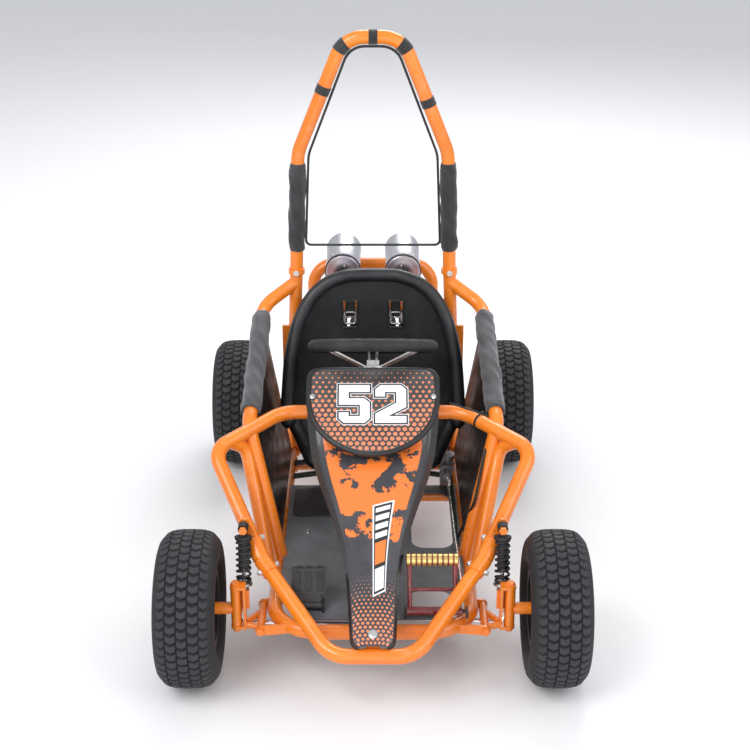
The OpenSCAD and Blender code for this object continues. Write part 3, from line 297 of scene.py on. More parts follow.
def fairingPrint():
    # uv: x is the place across from -1 to 1, y the distance from the tip in metres
    s = NodeSheet("fairingPrint")
    place = s.parts(s.uv())
    across, along = place[0], place[1]
    side = s.math("ABSOLUTE", across)
    ragged = s.math("MULTIPLY", s.math("SUBTRACT", s.noise(24.0, 6, 0.6), 0.5), 0.22)
    patch = s.ramp(s.math("ADD", along, ragged), 0.252, 0.256)
    holes = s.ramp(s.noise(17.0, 7, 0.62), 0.53, 0.545)
    band = s.ramp(side, 0.80, 0.78)
    orange = s.math("MULTIPLY", s.math("MULTIPLY", patch, band), s.math("SUBTRACT", 1.0, holes))
    base = s.mix(s.ramp(s.noise(12.0, 4), 0.35, 0.7), (0.040, 0.040, 0.046), (0.062, 0.062, 0.070))
    tone = s.mix(orange, base, (0.86, 0.205, 0.035))
    widthHere = s.ramp(along, 0.0, 0.25, 0.046, 0.080)
    radius = s.ramp(along, 0.20, 0.04, 0.0, 0.33)
    dots = printedDots(s, s.math("MULTIPLY", across, widthHere), along, 0.0105, radius)
    dots = s.math("MULTIPLY", dots, s.ramp(side, 0.86, 0.84))
    tone = s.mix(dots, tone, dotOrange)
    for low, high, left, right, colour in stripeBars:
        lean = s.math("ADD", along, s.math("MULTIPLY", across, -0.03))
        box = s.math("MULTIPLY", s.ramp(lean, low, low + 0.001), s.ramp(lean, high, high - 0.001))
        box = s.math("MULTIPLY", box, s.math("MULTIPLY", s.ramp(across, left, left + 0.02),
                                             s.ramp(across, right, right - 0.02)))
        tone = s.mix(box, tone, colour)
    rim = s.ramp(side, 0.865, 0.90)
    tone = s.mix(rim, tone, (0.022, 0.022, 0.024))
    return s.finish(tone, s.ramp(s.noise(50.0), 0.3, 0.7, 0.22, 0.34), s.bump(s.noise(120.0), 0.05),
                    Coat_Weight=0.35)


white = (0.80, 0.82, 0.85)
blackInk = (0.02, 0.02, 0.02)
# generic racing bars: from, to (metres from the tip), left, right (share across), colour
stripeBars = [(0.110, 0.335, -0.02, 0.50, white), (0.114, 0.331, 0.02, 0.46, blackInk),
              (0.120, 0.175, 0.06, 0.42, white), (0.184, 0.238, 0.06, 0.42, (0.86, 0.205, 0.035)),
              (0.247, 0.262, 0.06, 0.42, white), (0.269, 0.284, 0.06, 0.42, white),
              (0.291, 0.306, 0.06, 0.42, white), (0.313, 0.325, 0.06, 0.42, white)]

framePaint = paintedTube("orangePowderCoat", (0.86, 0.225, 0.012), (0.78, 0.185, 0.010))
redPaint = paintedTube("darkRedPaint", (0.20, 0.012, 0.015), (0.13, 0.008, 0.01))
blackPaint = mouldedPlastic("satinBlackPaint", (0.011, 0.011, 0.012), 0.38, 0.1)
floorPaint = mouldedPlastic("greyFloorPaint", (0.088, 0.094, 0.103), 0.42, 0.18, 1300.0)
seatPlastic = mouldedPlastic("seatPlastic", (0.012, 0.013, 0.015), 0.40, 0.3)
blackPlastic = mouldedPlastic("blackPlastic", (0.013, 0.013, 0.014), 0.42)
padCloth = wovenCloth("greyPadCloth", (0.030, 0.030, 0.034))
sleeveCloth = wovenCloth("blackSleeveCloth", (0.012, 0.012, 0.014))
strapCloth = wovenCloth("strapWebbing", (0.010, 0.010, 0.011), 2400.0, False)
rubber = mouldedPlastic("softRubber", (0.012, 0.012, 0.012), 0.62, 0.2, 1500.0)
turf = tyreRubber()
zinc = plainMetal("brightZinc", (0.72, 0.72, 0.70), 0.26)
chrome = plainMetal("polishedSteel", (0.80, 0.80, 0.82), 0.12, bumpSize=0.03)
castMetal = plainMetal("castAluminium", (0.48, 0.48, 0.49), 0.5, (1, 1, 1), 0.3)
chainSteel = plainMetal("oiledSteel", (0.20, 0.18, 0.15), 0.42, (1, 1, 1), 0.2)
goldTube = plainMetal("goldAnodised", (0.80, 0.60, 0.22), 0.30, (30, 1, 1))
tinted = silencerSteel()
plateInk = platePrint()
fairingInk = fairingPrint()

finishOf = {
    framePaint: ["lower_frame", "seat_frame", "side_rails", "dash_hoop", "front_bumper", "roll_hoop",
                 "rear_guard",
                 "column_bearings", "recoil_starter", "front_arm_left", "front_arm_right", "knuckle_left",
                 "knuckle_right"],
    floorPaint: ["floor_pan"],
    blackPaint: ["side_panels", "seat_brackets", "pedal_brackets", "front_rim_left", "front_rim_right",
                 "rear_rims"],
    blackPlastic: ["fuel_tank", "throttle_pedal", "number_plate", "nose_fairing"],
    seatPlastic: ["seat"],
    padCloth: ["rail_pads"],
    sleeveCloth: ["hoop_pads"],
    strapCloth: ["hoop_straps", "net_edge"],
    rubber: ["cables", "shock_body_left", "shock_body_right", "spring_left", "spring_right"],
    zinc: ["frame_bolts", "rear_axle", "brake_rod", "steering_column", "steering_shaft", "axle_bearings",
           "shock_rod_left", "shock_rod_right", "steering_wheel"],
    chrome: ["exhaust", "brake_disc", "rod_end_left", "rod_end_right", "tie_rod_left", "tie_rod_right"],
    tinted: ["silencers"],
    castMetal: ["engine", "master_cylinder"],
    redPaint: ["brake_caliper", "brake_pedal"],
    chainSteel: ["drive_chain", "axle_sprocket", "clutch_sprocket"],
    turf: ["rear_tyres", "front_tyre_left", "front_tyre_right"]}
for finish, nodes in finishOf.items():
    for node in nodes:
        shown = frame["nodes"][node]
        shown.data.materials.clear()
        shown.data.materials.append(finish)
print("materials ready")

# mesh helpers


def surface(name, points, material, loopU=False, loopV=False, uv=None, smooth=True, flip=False):
    # quad sheet over an (m, n, 3) grid of points; a looped direction joins its last line to its first
    m, n = points.shape[:2]
    rows = np.arange(m if loopU else m - 1)
    cols = np.arange(n if loopV else n - 1)
    i, j = np.meshgrid(rows, cols, indexing="ij")
    i2, j2 = (i + 1) % m, (j + 1) % n
    quads = np.stack([i * n + j, i2 * n + j, i2 * n + j2, i * n + j2], -1).reshape(-1, 4)
    if flip:
        quads = quads[:, ::-1]
    mesh = bpy.data.meshes.new(name)
    mesh.vertices.add(m * n)
    mesh.vertices.foreach_set("co", points.reshape(-1).astype(np.float32))
    mesh.loops.add(quads.size)
    mesh.loops.foreach_set("vertex_index", quads.reshape(-1).astype(np.int32))
    mesh.polygons.add(len(quads))
    mesh.polygons.foreach_set("loop_start", np.arange(0, quads.size, 4, dtype=np.int32))
    if uv is not None:
        layer = mesh.uv_layers.new(name="UVMap")
        corners = np.stack([np.stack([i, j], -1), np.stack([i + 1, j], -1), np.stack([i + 1, j + 1], -1),
                            np.stack([i, j + 1], -1)], 2).reshape(-1, 4, 2)
        if flip:
            corners = corners[:, ::-1]
        corners = corners.reshape(-1, 2)
        padded = np.concatenate([uv, uv[:1]], 0) if loopU else uv
        padded = np.concatenate([padded, padded[:, :1]], 1) if loopV else padded
        if loopU:
            padded[-1, :, 0] = 2 * padded[-2, :, 0] - padded[-3, :, 0]
        if loopV:
            padded[:, -1, 1] = 2 * padded[:, -2, 1] - padded[:, -3, 1]
        layer.data.foreach_set("uv", padded[corners[:, 0], corners[:, 1]].reshape(-1).astype(np.float32))
    mesh.update(calc_edges=True)
    mesh.validate()
    mesh.polygons.foreach_set("use_smooth", np.full(len(mesh.polygons), smooth))
    mesh.materials.append(material)
    return addObject(name, mesh)


def join(name, parts):
    # one mesh from several, kept in order with their materials
    bpy.ops.object.select_all(action="DESELECT")
    for part in parts:
        part.select_set(True)
    bpy.context.view_layer.objects.active = parts[0]
    bpy.ops.object.join()
    whole = parts[0]
    whole.name = name
    whole.data.name = name
    return whole


def frameAxes(direction, hint=(0.0, 0.0, 1.0)):
    # two unit vectors square to each direction; the hint picks where the first one points
    t = direction / np.linalg.norm(direction, axis=-1, keepdims=True)
    h = np.broadcast_to(np.asarray(hint, float), t.shape)
    a = h - (h * t).sum(-1, keepdims=True) * t
    a = a / np.linalg.norm(a, axis=-1, keepdims=True)
    return a, np.cross(t, a)


def sweep(name, path, radius, material, sides=20, hint=(0.0, 0.0, 1.0), closed=False, caps=True):
    # round tube: each ring is path + r (a cos + b sin); radius may change along the path
    path = np.asarray(path, float)
    k = len(path)
    tangent = np.roll(path, -1, 0) - np.roll(path, 1, 0)
    if not closed:
        tangent[0], tangent[-1] = path[1] - path[0], path[-1] - path[-2]
    a, b = frameAxes(tangent, hint)
    r = np.broadcast_to(np.asarray(radius, float), (k,))
    if caps and not closed:
        path = np.concatenate([path[:1], path, path[-1:]])
        a, b = np.concatenate([a[:1], a, a[-1:]]), np.concatenate([b[:1], b, b[-1:]])
        r = np.concatenate([[1e-5], r, [1e-5]])
    angle = np.linspace(0, 2 * math.pi, sides, endpoint=False)
    ring = a[:, None] * np.cos(angle)[None, :, None] + b[:, None] * np.sin(angle)[None, :, None]
    points = path[:, None] + r[:, None, None] * ring
    length = np.concatenate([[0], np.cumsum(np.linalg.norm(np.diff(path, axis=0), axis=1))])
    uv = np.stack(np.broadcast_arrays(length[:, None], (angle * r.max())[None, :]), -1).copy()
    return surface(name, points, material, loopU=closed, loopV=True, uv=uv, flip=True)


def bolt(name, place, direction, size, material, sunk=0.0):
    # washer, hexagon head and a small dish, as one lathe with six corners on the head
    direction = np.asarray(direction, float) / np.linalg.norm(direction)
    a, b = frameAxes(direction[None], (0.31, 0.17, 0.93))
    angle = np.linspace(0, 2 * math.pi, 36, endpoint=False)
    hexagon = math.cos(math.pi / 6) / np.cos((angle % (math.pi / 3)) - math.pi / 6)
    rows = [(1.45, 0.0, 0), (1.45, 0.18, 0), (1.3, 0.24, 0), (1.02, 0.24, 1), (1.02, 0.80, 1),
            (0.92, 0.95, 0.6), (0.66, 0.97, 0), (0.6, 0.86, 0), (0.01, 0.86, 0)]
    points = []
    for radius, height, six in rows:
        r = size * radius * (1 - six + six * hexagon)
        ring = a * np.cos(angle)[:, None] + b * np.sin(angle)[:, None]
        points.append(np.asarray(place) + ring * r[:, None] + direction * size * (height - sunk))
    return surface(name, np.array(points), material, loopV=True, smooth=False, flip=True)


def smoothRows(rows, u):
    # Catmull-Rom curve through the rows, for an array of places u
    rows = np.asarray(rows, float)
    last = len(rows) - 1
    i = np.clip(np.floor(u).astype(int), 0, last - 1)
    f = (u - i)[:, None]
    a, b = rows[np.maximum(i - 1, 0)], rows[i]
    c, d = rows[i + 1], rows[np.minimum(i + 2, last)]
    return 0.5 * (2 * b + (c - a) * f + (2 * a - 5 * b + 4 * c - d) * f**2 + (3 * b - a - 3 * c + d) * f**3)


def step(low, high, x):
    t = np.clip((x - low) / (high - low), 0, 1)
    return t * t * (3 - 2 * t)


# tyres

tyre = {"radius": 0.165, "halfWidth": 0.0632, "bead": 0.0878, "square": 3.0, "rows": 50, "perRow": 16,
        "columns": 5, "treadHalf": 0.0575, "lug": 0.0058, "groove": 0.0052}


def turfTyre(name, centre, turn):
    # section is a squared ellipse; blocks rise from it in staggered columns of V-shaped bars
    t = tyre
    middle, high = (t["radius"] - t["lug"] + t["bead"]) / 2, (t["radius"] - t["lug"] - t["bead"]) / 2
    turns = t["rows"] * t["perRow"]
    angle = np.linspace(0, 2 * math.pi, turns, endpoint=False)
    phi = np.linspace(-0.97, 0.97, 6001) * math.pi
    e = 2 / t["square"]
    across = t["halfWidth"] * np.sign(np.sin(phi)) * np.abs(np.sin(phi)) ** e
    out = middle + high * np.sign(np.cos(phi)) * np.abs(np.cos(phi)) ** e
    girth = np.concatenate([[0], np.cumsum(np.hypot(np.diff(across), np.diff(out)))])
    girth -= girth[3000]
    spots = np.concatenate([np.linspace(girth[0], -t["treadHalf"] - 0.002, 16, endpoint=False),
                            np.linspace(-t["treadHalf"] - 0.002, t["treadHalf"] + 0.002, 86),
                            np.linspace(t["treadHalf"] + 0.002, girth[-1], 17)[1:]])
    across, out, girth = np.interp(spots, girth, across), np.interp(spots, girth, out), spots
    wide = 2 * t["treadHalf"] / t["columns"]
    column = np.floor((girth + t["treadHalf"]) / wide)
    share = (girth + t["treadHalf"]) / wide - column
    fromEdge = np.minimum(share, 1 - share) * wide
    pitch = 2 * math.pi * t["radius"] / t["rows"]
    offset = 0.5 * (column % 2) - 0.50 * np.abs(share - 0.5)
    bar = angle[:, None] / (2 * math.pi) * t["rows"] + offset[None]
    fromBar = np.minimum(bar % 1, 1 - bar % 1) * pitch
    g = t["groove"]
    lug = step(g * 0.08, g * 0.34, fromEdge)[None] * step(g * 0.40, g * 0.78, fromBar)
    lug = lug * step(t["treadHalf"] + 0.001, t["treadHalf"] - 0.001, np.abs(girth))[None]
    ridge = 0.0012 * np.exp(-((np.abs(girth) - t["treadHalf"] - 0.012) / 0.0016) ** 2)
    normal = np.stack([np.gradient(out, girth), -np.gradient(across, girth)], -1)
    normal = -normal / np.linalg.norm(normal, axis=1, keepdims=True)
    rise = t["lug"] * lug + ridge[None]
    x = across[None] + normal[None, :, 0] * rise * -1
    r = out[None] + np.abs(normal[None, :, 1]) * rise
    points = np.stack([centre[0] + x, centre[1] + r * np.sin(angle + turn)[:, None],
                       centre[2] + r * np.cos(angle + turn)[:, None]], -1)
    piece = surface(name, points, turf, loopU=True)
    # the lug height is kept as an attribute; the tyre material paints a highlight on the block tops and shade
    # in the grooves from it
    level = piece.data.attributes.new("lug", "FLOAT", "POINT")
    level.data.foreach_set("value", lug.reshape(-1).astype(np.float32))
    return piece


def wheelCentre(name):
    return np.array([joint["pos_m"] for joint in joints if joint["name"] == name][0], float)


rearX = (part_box("rear_tyres")[1][0] - tyre["halfWidth"] - 0.0003)
rearCentre = wheelCentre("rear_axle_spin")
for side, sign in (("Left", 1), ("Right", -1)):
    front = turfTyre("frontTyre" + side, wheelCentre("front_spin_" + side.lower()), 0.02 * sign)
    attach(front, "front_wheel_" + side.lower())
    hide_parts("front_tyre_" + side.lower())
rears = [turfTyre("rearTyre" + side, np.array([sign * rearX, rearCentre[1], rearCentre[2]]), 0.05)
         for side, sign in (("Left", 1), ("Right", -1))]
for piece in rears:
    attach(piece, "rear_axle")
    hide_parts("rear_tyres")
print("tyres ready")


# two-sided shells


def thickSheet(name, top, bottom, material, keep=None, uv=None, sharp=40):
    # two matching grids joined round every edge and every hole in the keep mask
    m, n = top.shape[:2]
    keep = np.ones((m - 1, n - 1), bool) if keep is None else keep
    i, j = np.nonzero(keep)
    grid = np.arange(m * n).reshape(m, n)
    under = grid + m * n
    faces = [np.stack([grid[i, j], grid[i + 1, j], grid[i + 1, j + 1], grid[i, j + 1]], -1),
             np.stack([under[i, j + 1], under[i + 1, j + 1], under[i + 1, j], under[i, j]], -1)]
    framed = np.pad(keep, 1)
    for di, dj, first, second in ((0, 1, (0, 0), (0, 1)), (2, 1, (1, 1), (1, 0)), (1, 0, (1, 0), (0, 0)),
                                  (1, 2, (0, 1), (1, 1))):
        edge = ~framed[i + di, j + dj]
        a, b = i[edge], j[edge]
        p, q = (a + first[0], b + first[1]), (a + second[0], b + second[1])
        faces.append(np.stack([grid[p], grid[q], under[q], under[p]], -1))
    quads = np.concatenate(faces)
    mesh = bpy.data.meshes.new(name)
    mesh.vertices.add(2 * m * n)
    mesh.vertices.foreach_set("co", np.concatenate([top.reshape(-1), bottom.reshape(-1)]).astype(np.float32))
    mesh.loops.add(quads.size)
    mesh.loops.foreach_set("vertex_index", quads.reshape(-1).astype(np.int32))
    mesh.polygons.add(len(quads))
    mesh.polygons.foreach_set("loop_start", np.arange(0, quads.size, 4, dtype=np.int32))
    if uv is not None:
        layer = mesh.uv_layers.new(name="UVMap")
        both = np.concatenate([uv.reshape(-1, 2), uv.reshape(-1, 2)])
        layer.data.foreach_set("uv", both[quads.reshape(-1)].reshape(-1).astype(np.float32))
    mesh.update(calc_edges=True)
    mesh.validate()
    mesh.polygons.foreach_set("use_smooth", np.full(len(mesh.polygons), True))
    mesh.set_sharp_from_angle(angle=math.radians(sharp))
    mesh.materials.append(material)
    return addObject(name, mesh)


def drop(piece):
    # removes the loose points that a hole leaves behind
    mesh = piece.data
    used = np.zeros(len(mesh.vertices), bool)
    corner = np.empty(len(mesh.loops), np.int32)
    mesh.loops.foreach_get("vertex_index", corner)
    used[corner] = True
    lost = np.nonzero(~used)[0]
    work = bmesh.new()
    work.from_mesh(mesh)
    work.verts.ensure_lookup_table()
    bmesh.ops.delete(work, geom=[work.verts[k] for k in lost], context="VERTS")
    work.to_mesh(mesh)
    work.free()


# bucket seat

# rows: y, z, share of the half width, wing depth in metres
seat = {"rows": [[0.015, 0.226, 0.70, 0.014], [0.062, 0.204, 0.78, 0.046], [0.122, 0.192, 0.90, 0.086],
                 [0.178, 0.204, 0.975, 0.108], [0.220, 0.260, 1.00, 0.104], [0.240, 0.338, 0.99, 0.084],
                 [0.250, 0.428, 0.955, 0.062], [0.257, 0.512, 0.86, 0.042], [0.260, 0.570, 0.71, 0.024],
                 [0.261, 0.604, 0.52, 0.012], [0.261, 0.620, 0.30, 0.005]],
        "half": 0.207, "wall": 0.0052, "rim": 0.0165, "slotX": (0.038, 0.075), "slotZ": (0.486, 0.556),
        "cols": 72}


def seatPoint(u, a, lift):
    # across = half sin a, rise from the spine = depth (1 - cos a), moved out by lift
    row = smoothRows(seat["rows"], u)
    ahead = smoothRows(seat["rows"], np.minimum(u + 0.05, len(seat["rows"]) - 1))
    behind = smoothRows(seat["rows"], np.maximum(u - 0.05, 0))
    n = np.stack([behind[:, 1] - ahead[:, 1], ahead[:, 0] - behind[:, 0]], -1)
    n = n / np.linalg.norm(n, axis=1, keepdims=True)
    rise = (row[:, 3:4] + lift) * (1 - np.cos(a)) - lift
    across = (row[:, 2:3] * seat["half"] + lift) * np.sin(a)
    rib = 0.0022 * np.exp(-((np.abs(across) - 0.095) / 0.010) ** 2) * step(0.21, 0.28, row[:, 1:2])
    rise = rise + rib * step(0.60, 0.54, row[:, 1:2])
    return np.stack([across, row[:, 0:1] + n[:, :1] * rise, row[:, 1:2] + n[:, 1:] * rise], -1)


def seatColumns(u):
    # angles across each row; beside the slots they follow fixed places across the seat
    share = smoothRows(seat["rows"], u)[:, 2]
    even = np.linspace(-math.pi / 2, math.pi / 2, seat["cols"] + 1)
    wide = np.array([-90, -seat["slotX"][1], -seat["slotX"][0], *seat["slotX"], 90])
    marks = np.array([0, 23, 30, 42, 49, 72])
    half = (share * seat["half"])[:, None]
    edges = np.arcsin(np.clip(wide[None, 1:-1] / np.maximum(half, 0.08), -1, 1))
    edges = np.concatenate([np.full((len(u), 1), -math.pi / 2), edges, np.full((len(u), 1), math.pi / 2)], 1)
    place = np.arange(seat["cols"] + 1)
    k = np.clip(np.searchsorted(marks, place, side="right") - 1, 0, 4)
    t = (place - marks[k]) / (marks[k + 1] - marks[k])
    fixed = edges[:, k] * (1 - t) + edges[:, k + 1] * t
    weight = (step(5.4, 6.4, u) * step(9.2, 8.4, u))[:, None]
    return even[None] * (1 - weight) + fixed * weight


last = len(seat["rows"]) - 1
fine = np.linspace(0, last, 4001)
heights = smoothRows(seat["rows"], fine)[:, 1]
slotU = [float(np.interp(z, heights[1600:], fine[1600:])) for z in seat["slotZ"]]
lowRows = np.linspace(0, slotU[0], 62, endpoint=False)
midRows = np.linspace(slotU[0], slotU[1], 10, endpoint=False)
u = np.concatenate([lowRows, midRows, np.linspace(slotU[1], last, 24)])
angles = seatColumns(u)
inner = seatPoint(u, angles, 0.0)
outer = seatPoint(u, angles, seat["wall"])
keep = np.ones((len(u) - 1, seat["cols"]), bool)
for first in (23, 42):
    keep[62:72, first:first + 7] = False
shell = thickSheet("seatShell", inner, outer, seatPlastic, keep)
drop(shell)
mid = seatPoint(u, angles, seat["wall"] / 2)
loop = np.concatenate([mid[:, -1], mid[-1, ::-1][1:], mid[::-1, 0][1:], mid[0][1:-1]])
gap = np.linalg.norm(np.diff(np.concatenate([loop, loop[:1]]), axis=0), axis=1)
walk = np.concatenate([[0], np.cumsum(gap)])
even = np.linspace(0, walk[-1], 420, endpoint=False)
closedLoop = np.concatenate([loop, loop[:1]])
rimPath = np.stack([np.interp(even, walk, closedLoop[:, k]) for k in range(3)], -1)
for turn in range(6):
    rimPath = (np.roll(rimPath, 1, 0) + 2 * rimPath + np.roll(rimPath, -1, 0)) / 4
rimRoll = sweep("seatRim", rimPath, seat["rim"], seatPlastic, sides=18, hint=(0.05, 0.6, 0.8), closed=True)
bezels = []
for name, first in (("Right", 23), ("Left", 42)):
    ring = np.concatenate([inner[62:72, first], inner[72, first:first + 7], inner[72:62:-1, first + 7],
                           inner[62, first + 7:first:-1]])
    bezels.append(sweep("slotBezel" + name, ring, 0.0028, seatPlastic, sides=10, hint=(0.1, 1, 0.1),
                        closed=True))
seatWhole = join("seatBucket", [shell, rimRoll] + bezels)
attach(seatWhole, "chassis")
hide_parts("seat")
print("seat ready")

# nose fairing

# rows: y, z, half width, edge drop in metres
fairing = {"rows": [[-0.646, 0.174, 0.044, 0.012], [-0.628, 0.182, 0.047, 0.014],
                    [-0.560, 0.216, 0.051, 0.017], [-0.480, 0.256, 0.058, 0.020],
                    [-0.410, 0.293, 0.072, 0.022], [-0.340, 0.329, 0.094, 0.024],
                    [-0.275, 0.361, 0.117, 0.026], [-0.210, 0.398, 0.136, 0.028],
                    [-0.150, 0.448, 0.146, 0.030], [-0.110, 0.476, 0.148, 0.030]],
           "wall": 0.004, "bead": 0.0022}
u = np.linspace(0, len(fairing["rows"]) - 1, 150)
across = np.sin(np.linspace(-1, 1, 65) * math.pi / 2) * 0.35 + np.linspace(-1, 1, 65) * 0.65
row = smoothRows(fairing["rows"], u)
curve = row[:, 3:4] * np.abs(across)[None] ** 5
bead = fairing["bead"] * np.exp(-((np.abs(across) - 0.90) / 0.035) ** 2)[None]
tipRound = 1 - 0.22 * np.exp(-((row[:, :1] + 0.646) / 0.010) ** 2)
skinX = row[:, 2:3] * across[None] * tipRound
skin = np.stack([skinX, np.broadcast_to(row[:, :1], skinX.shape), row[:, 1:2] - curve + bead], -1)
under = skin - np.array([0, 0, 1]) * fairing["wall"]
under[..., 0] *= 0.985
travel = np.concatenate([[0], np.cumsum(np.hypot(np.diff(row[:, 0]), np.diff(row[:, 1])))])
uv = np.stack(np.broadcast_arrays(across[None], travel[:, None]), -1)
fairingPiece = thickSheet("noseFairing", skin[:, ::-1], under[:, ::-1], fairingInk, uv=uv[:, ::-1])
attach(fairingPiece, "chassis")
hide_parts("nose_fairing")

# number plate

plate = {"low": (0.0, -0.259, 0.394), "tilt": 33.0, "half": 0.150, "belly": 0.150, "long": 0.229,
         "corner": 0.032, "thick": 0.009, "digits": 0.069}


def onPlate(points):
    # plate places (across, up the slope, out of it) to the row frame
    c, s = math.cos(math.radians(plate["tilt"])), math.sin(math.radians(plate["tilt"]))
    x, y, z = points[..., 0], points[..., 1], points[..., 2]
    low = plate["low"]
    return np.stack([x + low[0], low[1] + y * c - z * s, low[2] + y * s + z * c], -1)


belly = np.linspace(math.pi, 2 * math.pi, 90)
corner = np.linspace(0, math.pi / 2, 16)
h, r = plate["half"], plate["corner"]
outline = np.concatenate([
    np.stack([h * np.cos(belly), plate["belly"] * (1 + np.sin(belly))], -1),
    np.stack([h - r + r * np.cos(corner), plate["long"] - r + r * np.sin(corner)], -1),
    np.stack([-h + r - r * np.sin(corner), plate["long"] - r + r * np.cos(corner)], -1)])
walk = np.concatenate([[0], np.cumsum(np.linalg.norm(np.diff(np.concatenate([outline, outline[:1]]),
                                                             axis=0), axis=1))])
even = np.linspace(0, walk[-1], 220, endpoint=False)
closedLine = np.concatenate([outline, outline[:1]])
outline = np.stack([np.interp(even, walk, closedLine[:, k]) for k in range(2)], -1)
middle = np.array([0.0, 0.13])
# share of the way from the middle to the edge, and height at that place
profile = [(0.001, 1.0), (0.25, 1.0), (0.5, 1.0), (0.75, 1.0), (0.88, 1.0), (0.915, 1.0), (0.925, 1.16),
           (0.94, 1.22), (0.96, 1.22), (0.98, 1.1), (0.993, 0.85), (1.0, 0.5), (0.995, 0.12), (0.98, 0.0),
           (0.5, 0.0), (0.001, 0.0)]
rings = []
for share, height in profile:
    flat = middle + (outline - middle) * share
    rings.append(np.concatenate([flat, np.full((len(flat), 1), height * plate["thick"])], 1))
rings = np.array(rings)
platePiece = surface("numberPlate", onPlate(rings), plateInk, loopV=True, uv=rings[..., :2])
platePiece.data.materials.append(blackPlastic)
ringOf = np.repeat(np.arange(len(profile) - 1), len(outline))
platePiece.data.polygons.foreach_set("material_index", (ringOf >= 5).astype(np.int32))

five = np.array([(0, 1.5), (1, 1.5), (1, 1.22), (0.32, 1.22), (0.32, 0.97), (0.82, 0.97), (1, 0.80),
                 (1, 0.17), (0.83, 0), (0.17, 0), (0, 0.17), (0, 0.42), (0.32, 0.42), (0.32, 0.27),
                 (0.68, 0.27), (0.68, 0.71), (0, 0.71)])
two = np.stack([1 - five[:, 0], five[:, 1]], -1)
two = np.array([(0, 1.33), (0.17, 1.5), (0.83, 1.5), (1, 1.33), (1, 0.62), (0.42, 0.27), (1, 0.27), (1, 0),
                (0, 0), (0, 0.36), (0.68, 0.80), (0.68, 1.22), (0.32, 1.22), (0.32, 1.04), (0, 1.04)])


def decal(name, corners, scale, place, grow, height, material):
    # filled flat outline, grown by an offset, a little above the plate
    line = bpy.data.curves.new(name, "CURVE")
    line.dimensions = "2D"
    line.fill_mode = "BOTH"
    line.extrude = 0.00012
    line.offset = grow
    spline = line.splines.new("POLY")
    spline.points.add(len(corners) - 1)
    flat = corners * scale + np.asarray(place)
    spline.points.foreach_set("co", np.concatenate([flat, np.zeros((len(flat), 1)),
                                                    np.ones((len(flat), 1))], 1).reshape(-1))
    spline.use_cyclic_u = True
    holder = addObject(name + "Line", line)
    mesh = bpy.data.meshes.new_from_object(holder.evaluated_get(bpy.context.evaluated_depsgraph_get()))
    bpy.data.objects.remove(holder)
    co = np.empty(len(mesh.vertices) * 3, np.float32)
    mesh.vertices.foreach_get("co", co)
    co = co.reshape(-1, 3) + np.array([0, 0, height])
    mesh.vertices.foreach_set("co", onPlate(co).reshape(-1).astype(np.float32))
    mesh.materials.clear()
    mesh.materials.append(material)
    mesh.update()
    return addObject(name, mesh)


numberWhite = mouldedPlastic("whiteInk", (0.74, 0.76, 0.80), 0.3, 0.05)
numberDark = mouldedPlastic("darkInk", (0.018, 0.016, 0.016), 0.3, 0.05)
size = plate["digits"]
digits = []
for name, corners, left in (("Five", five, -0.076), ("Two", two, 0.005)):
    for layer, grow, height, ink in (("Edge", 0.0052, 0.0092, numberWhite),
                                     ("Gap", 0.0034, 0.0094, numberDark),
                                     ("Face", 0.0, 0.0096, numberWhite)):
        line = decal("digit" + name + layer, corners, size * np.array([1.0, 0.95]), (left, 0.082), grow,
                     height, ink)
        digits.append(line)
plateWhole = join("numberPanel", [platePiece] + digits)
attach(plateWhole, "chassis")
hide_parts("number_plate")
standOffs = join("plateStandOffs", [
    sweep("plateStandOff" + side, [[g * 0.06, -0.103, 0.434], [g * 0.06, -0.107, 0.476],
                                   [g * 0.06, -0.111, 0.486]],
          [0.0065, 0.0065, 0.0065], rubber, sides=16, hint=(0, 1, 0)) for side, g in (("Left", 1),
                                                                                      ("Right", -1))])
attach(standOffs, "chassis")
print("fairing and plate ready")

# foam pads

pad = {"rail": ((0.2687, 0.2149, 0.5329), (0.2751, -0.1258, 0.4396), 0.0232, 0.0165),
       "hoop": ((0.1855, 0.290, 0.676), (0.1788, 0.290, 0.8936), 0.0214, 0.0165)}


def foamPad(name, start, end, radius, core, cloth, seed, seam):
    # sleeve: radius drops at both hems, wrinkles are a few crossed waves, one flat lap runs along it
    start, end = np.asarray(start), np.asarray(end)
    long = np.linalg.norm(end - start)
    rows, sides = 150, 72
    t = np.linspace(0, long, rows)[:, None]
    angle = np.linspace(0, 2 * math.pi, sides, endpoint=False)[None]
    rng = np.random.default_rng(seed)
    r = np.full((rows, sides), radius - 0.0012)
    for k in range(9):
        spin, climb = rng.integers(1, 6), rng.uniform(20, 150)
        r += 0.00042 * np.sin(spin * angle + climb * t + rng.uniform(0, 6))
    edge = np.minimum(t, long - t)
    r -= 0.0022 * np.exp(-(edge / 0.006) ** 2)
    r -= 0.0010 * np.exp(-((edge - 0.012) / 0.0022) ** 2)
    off = np.abs((angle - seam + math.pi) % (2 * math.pi) - math.pi)
    r += 0.0011 * step(0.34, 0.28, off) - 0.0008 * np.exp(-((off - 0.36) / 0.03) ** 2)
    along = (end - start) / long
    a, b = frameAxes(along[None], (0, 0, 1))
    ring = a[:, None] * np.cos(angle)[..., None] + b[:, None] * np.sin(angle)[..., None]
    outer = start + along * t[..., None] + ring * r[..., None]
    inner = start + along * t[::-1, :, None] + ring * core
    points = np.concatenate([outer, inner])
    uv = np.stack(np.broadcast_arrays(np.concatenate([t, long + t]), angle * radius), -1).copy()
    piece = surface(name, points, cloth, loopU=True, loopV=True, uv=uv, flip=False)
    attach(piece, "chassis")
    return piece


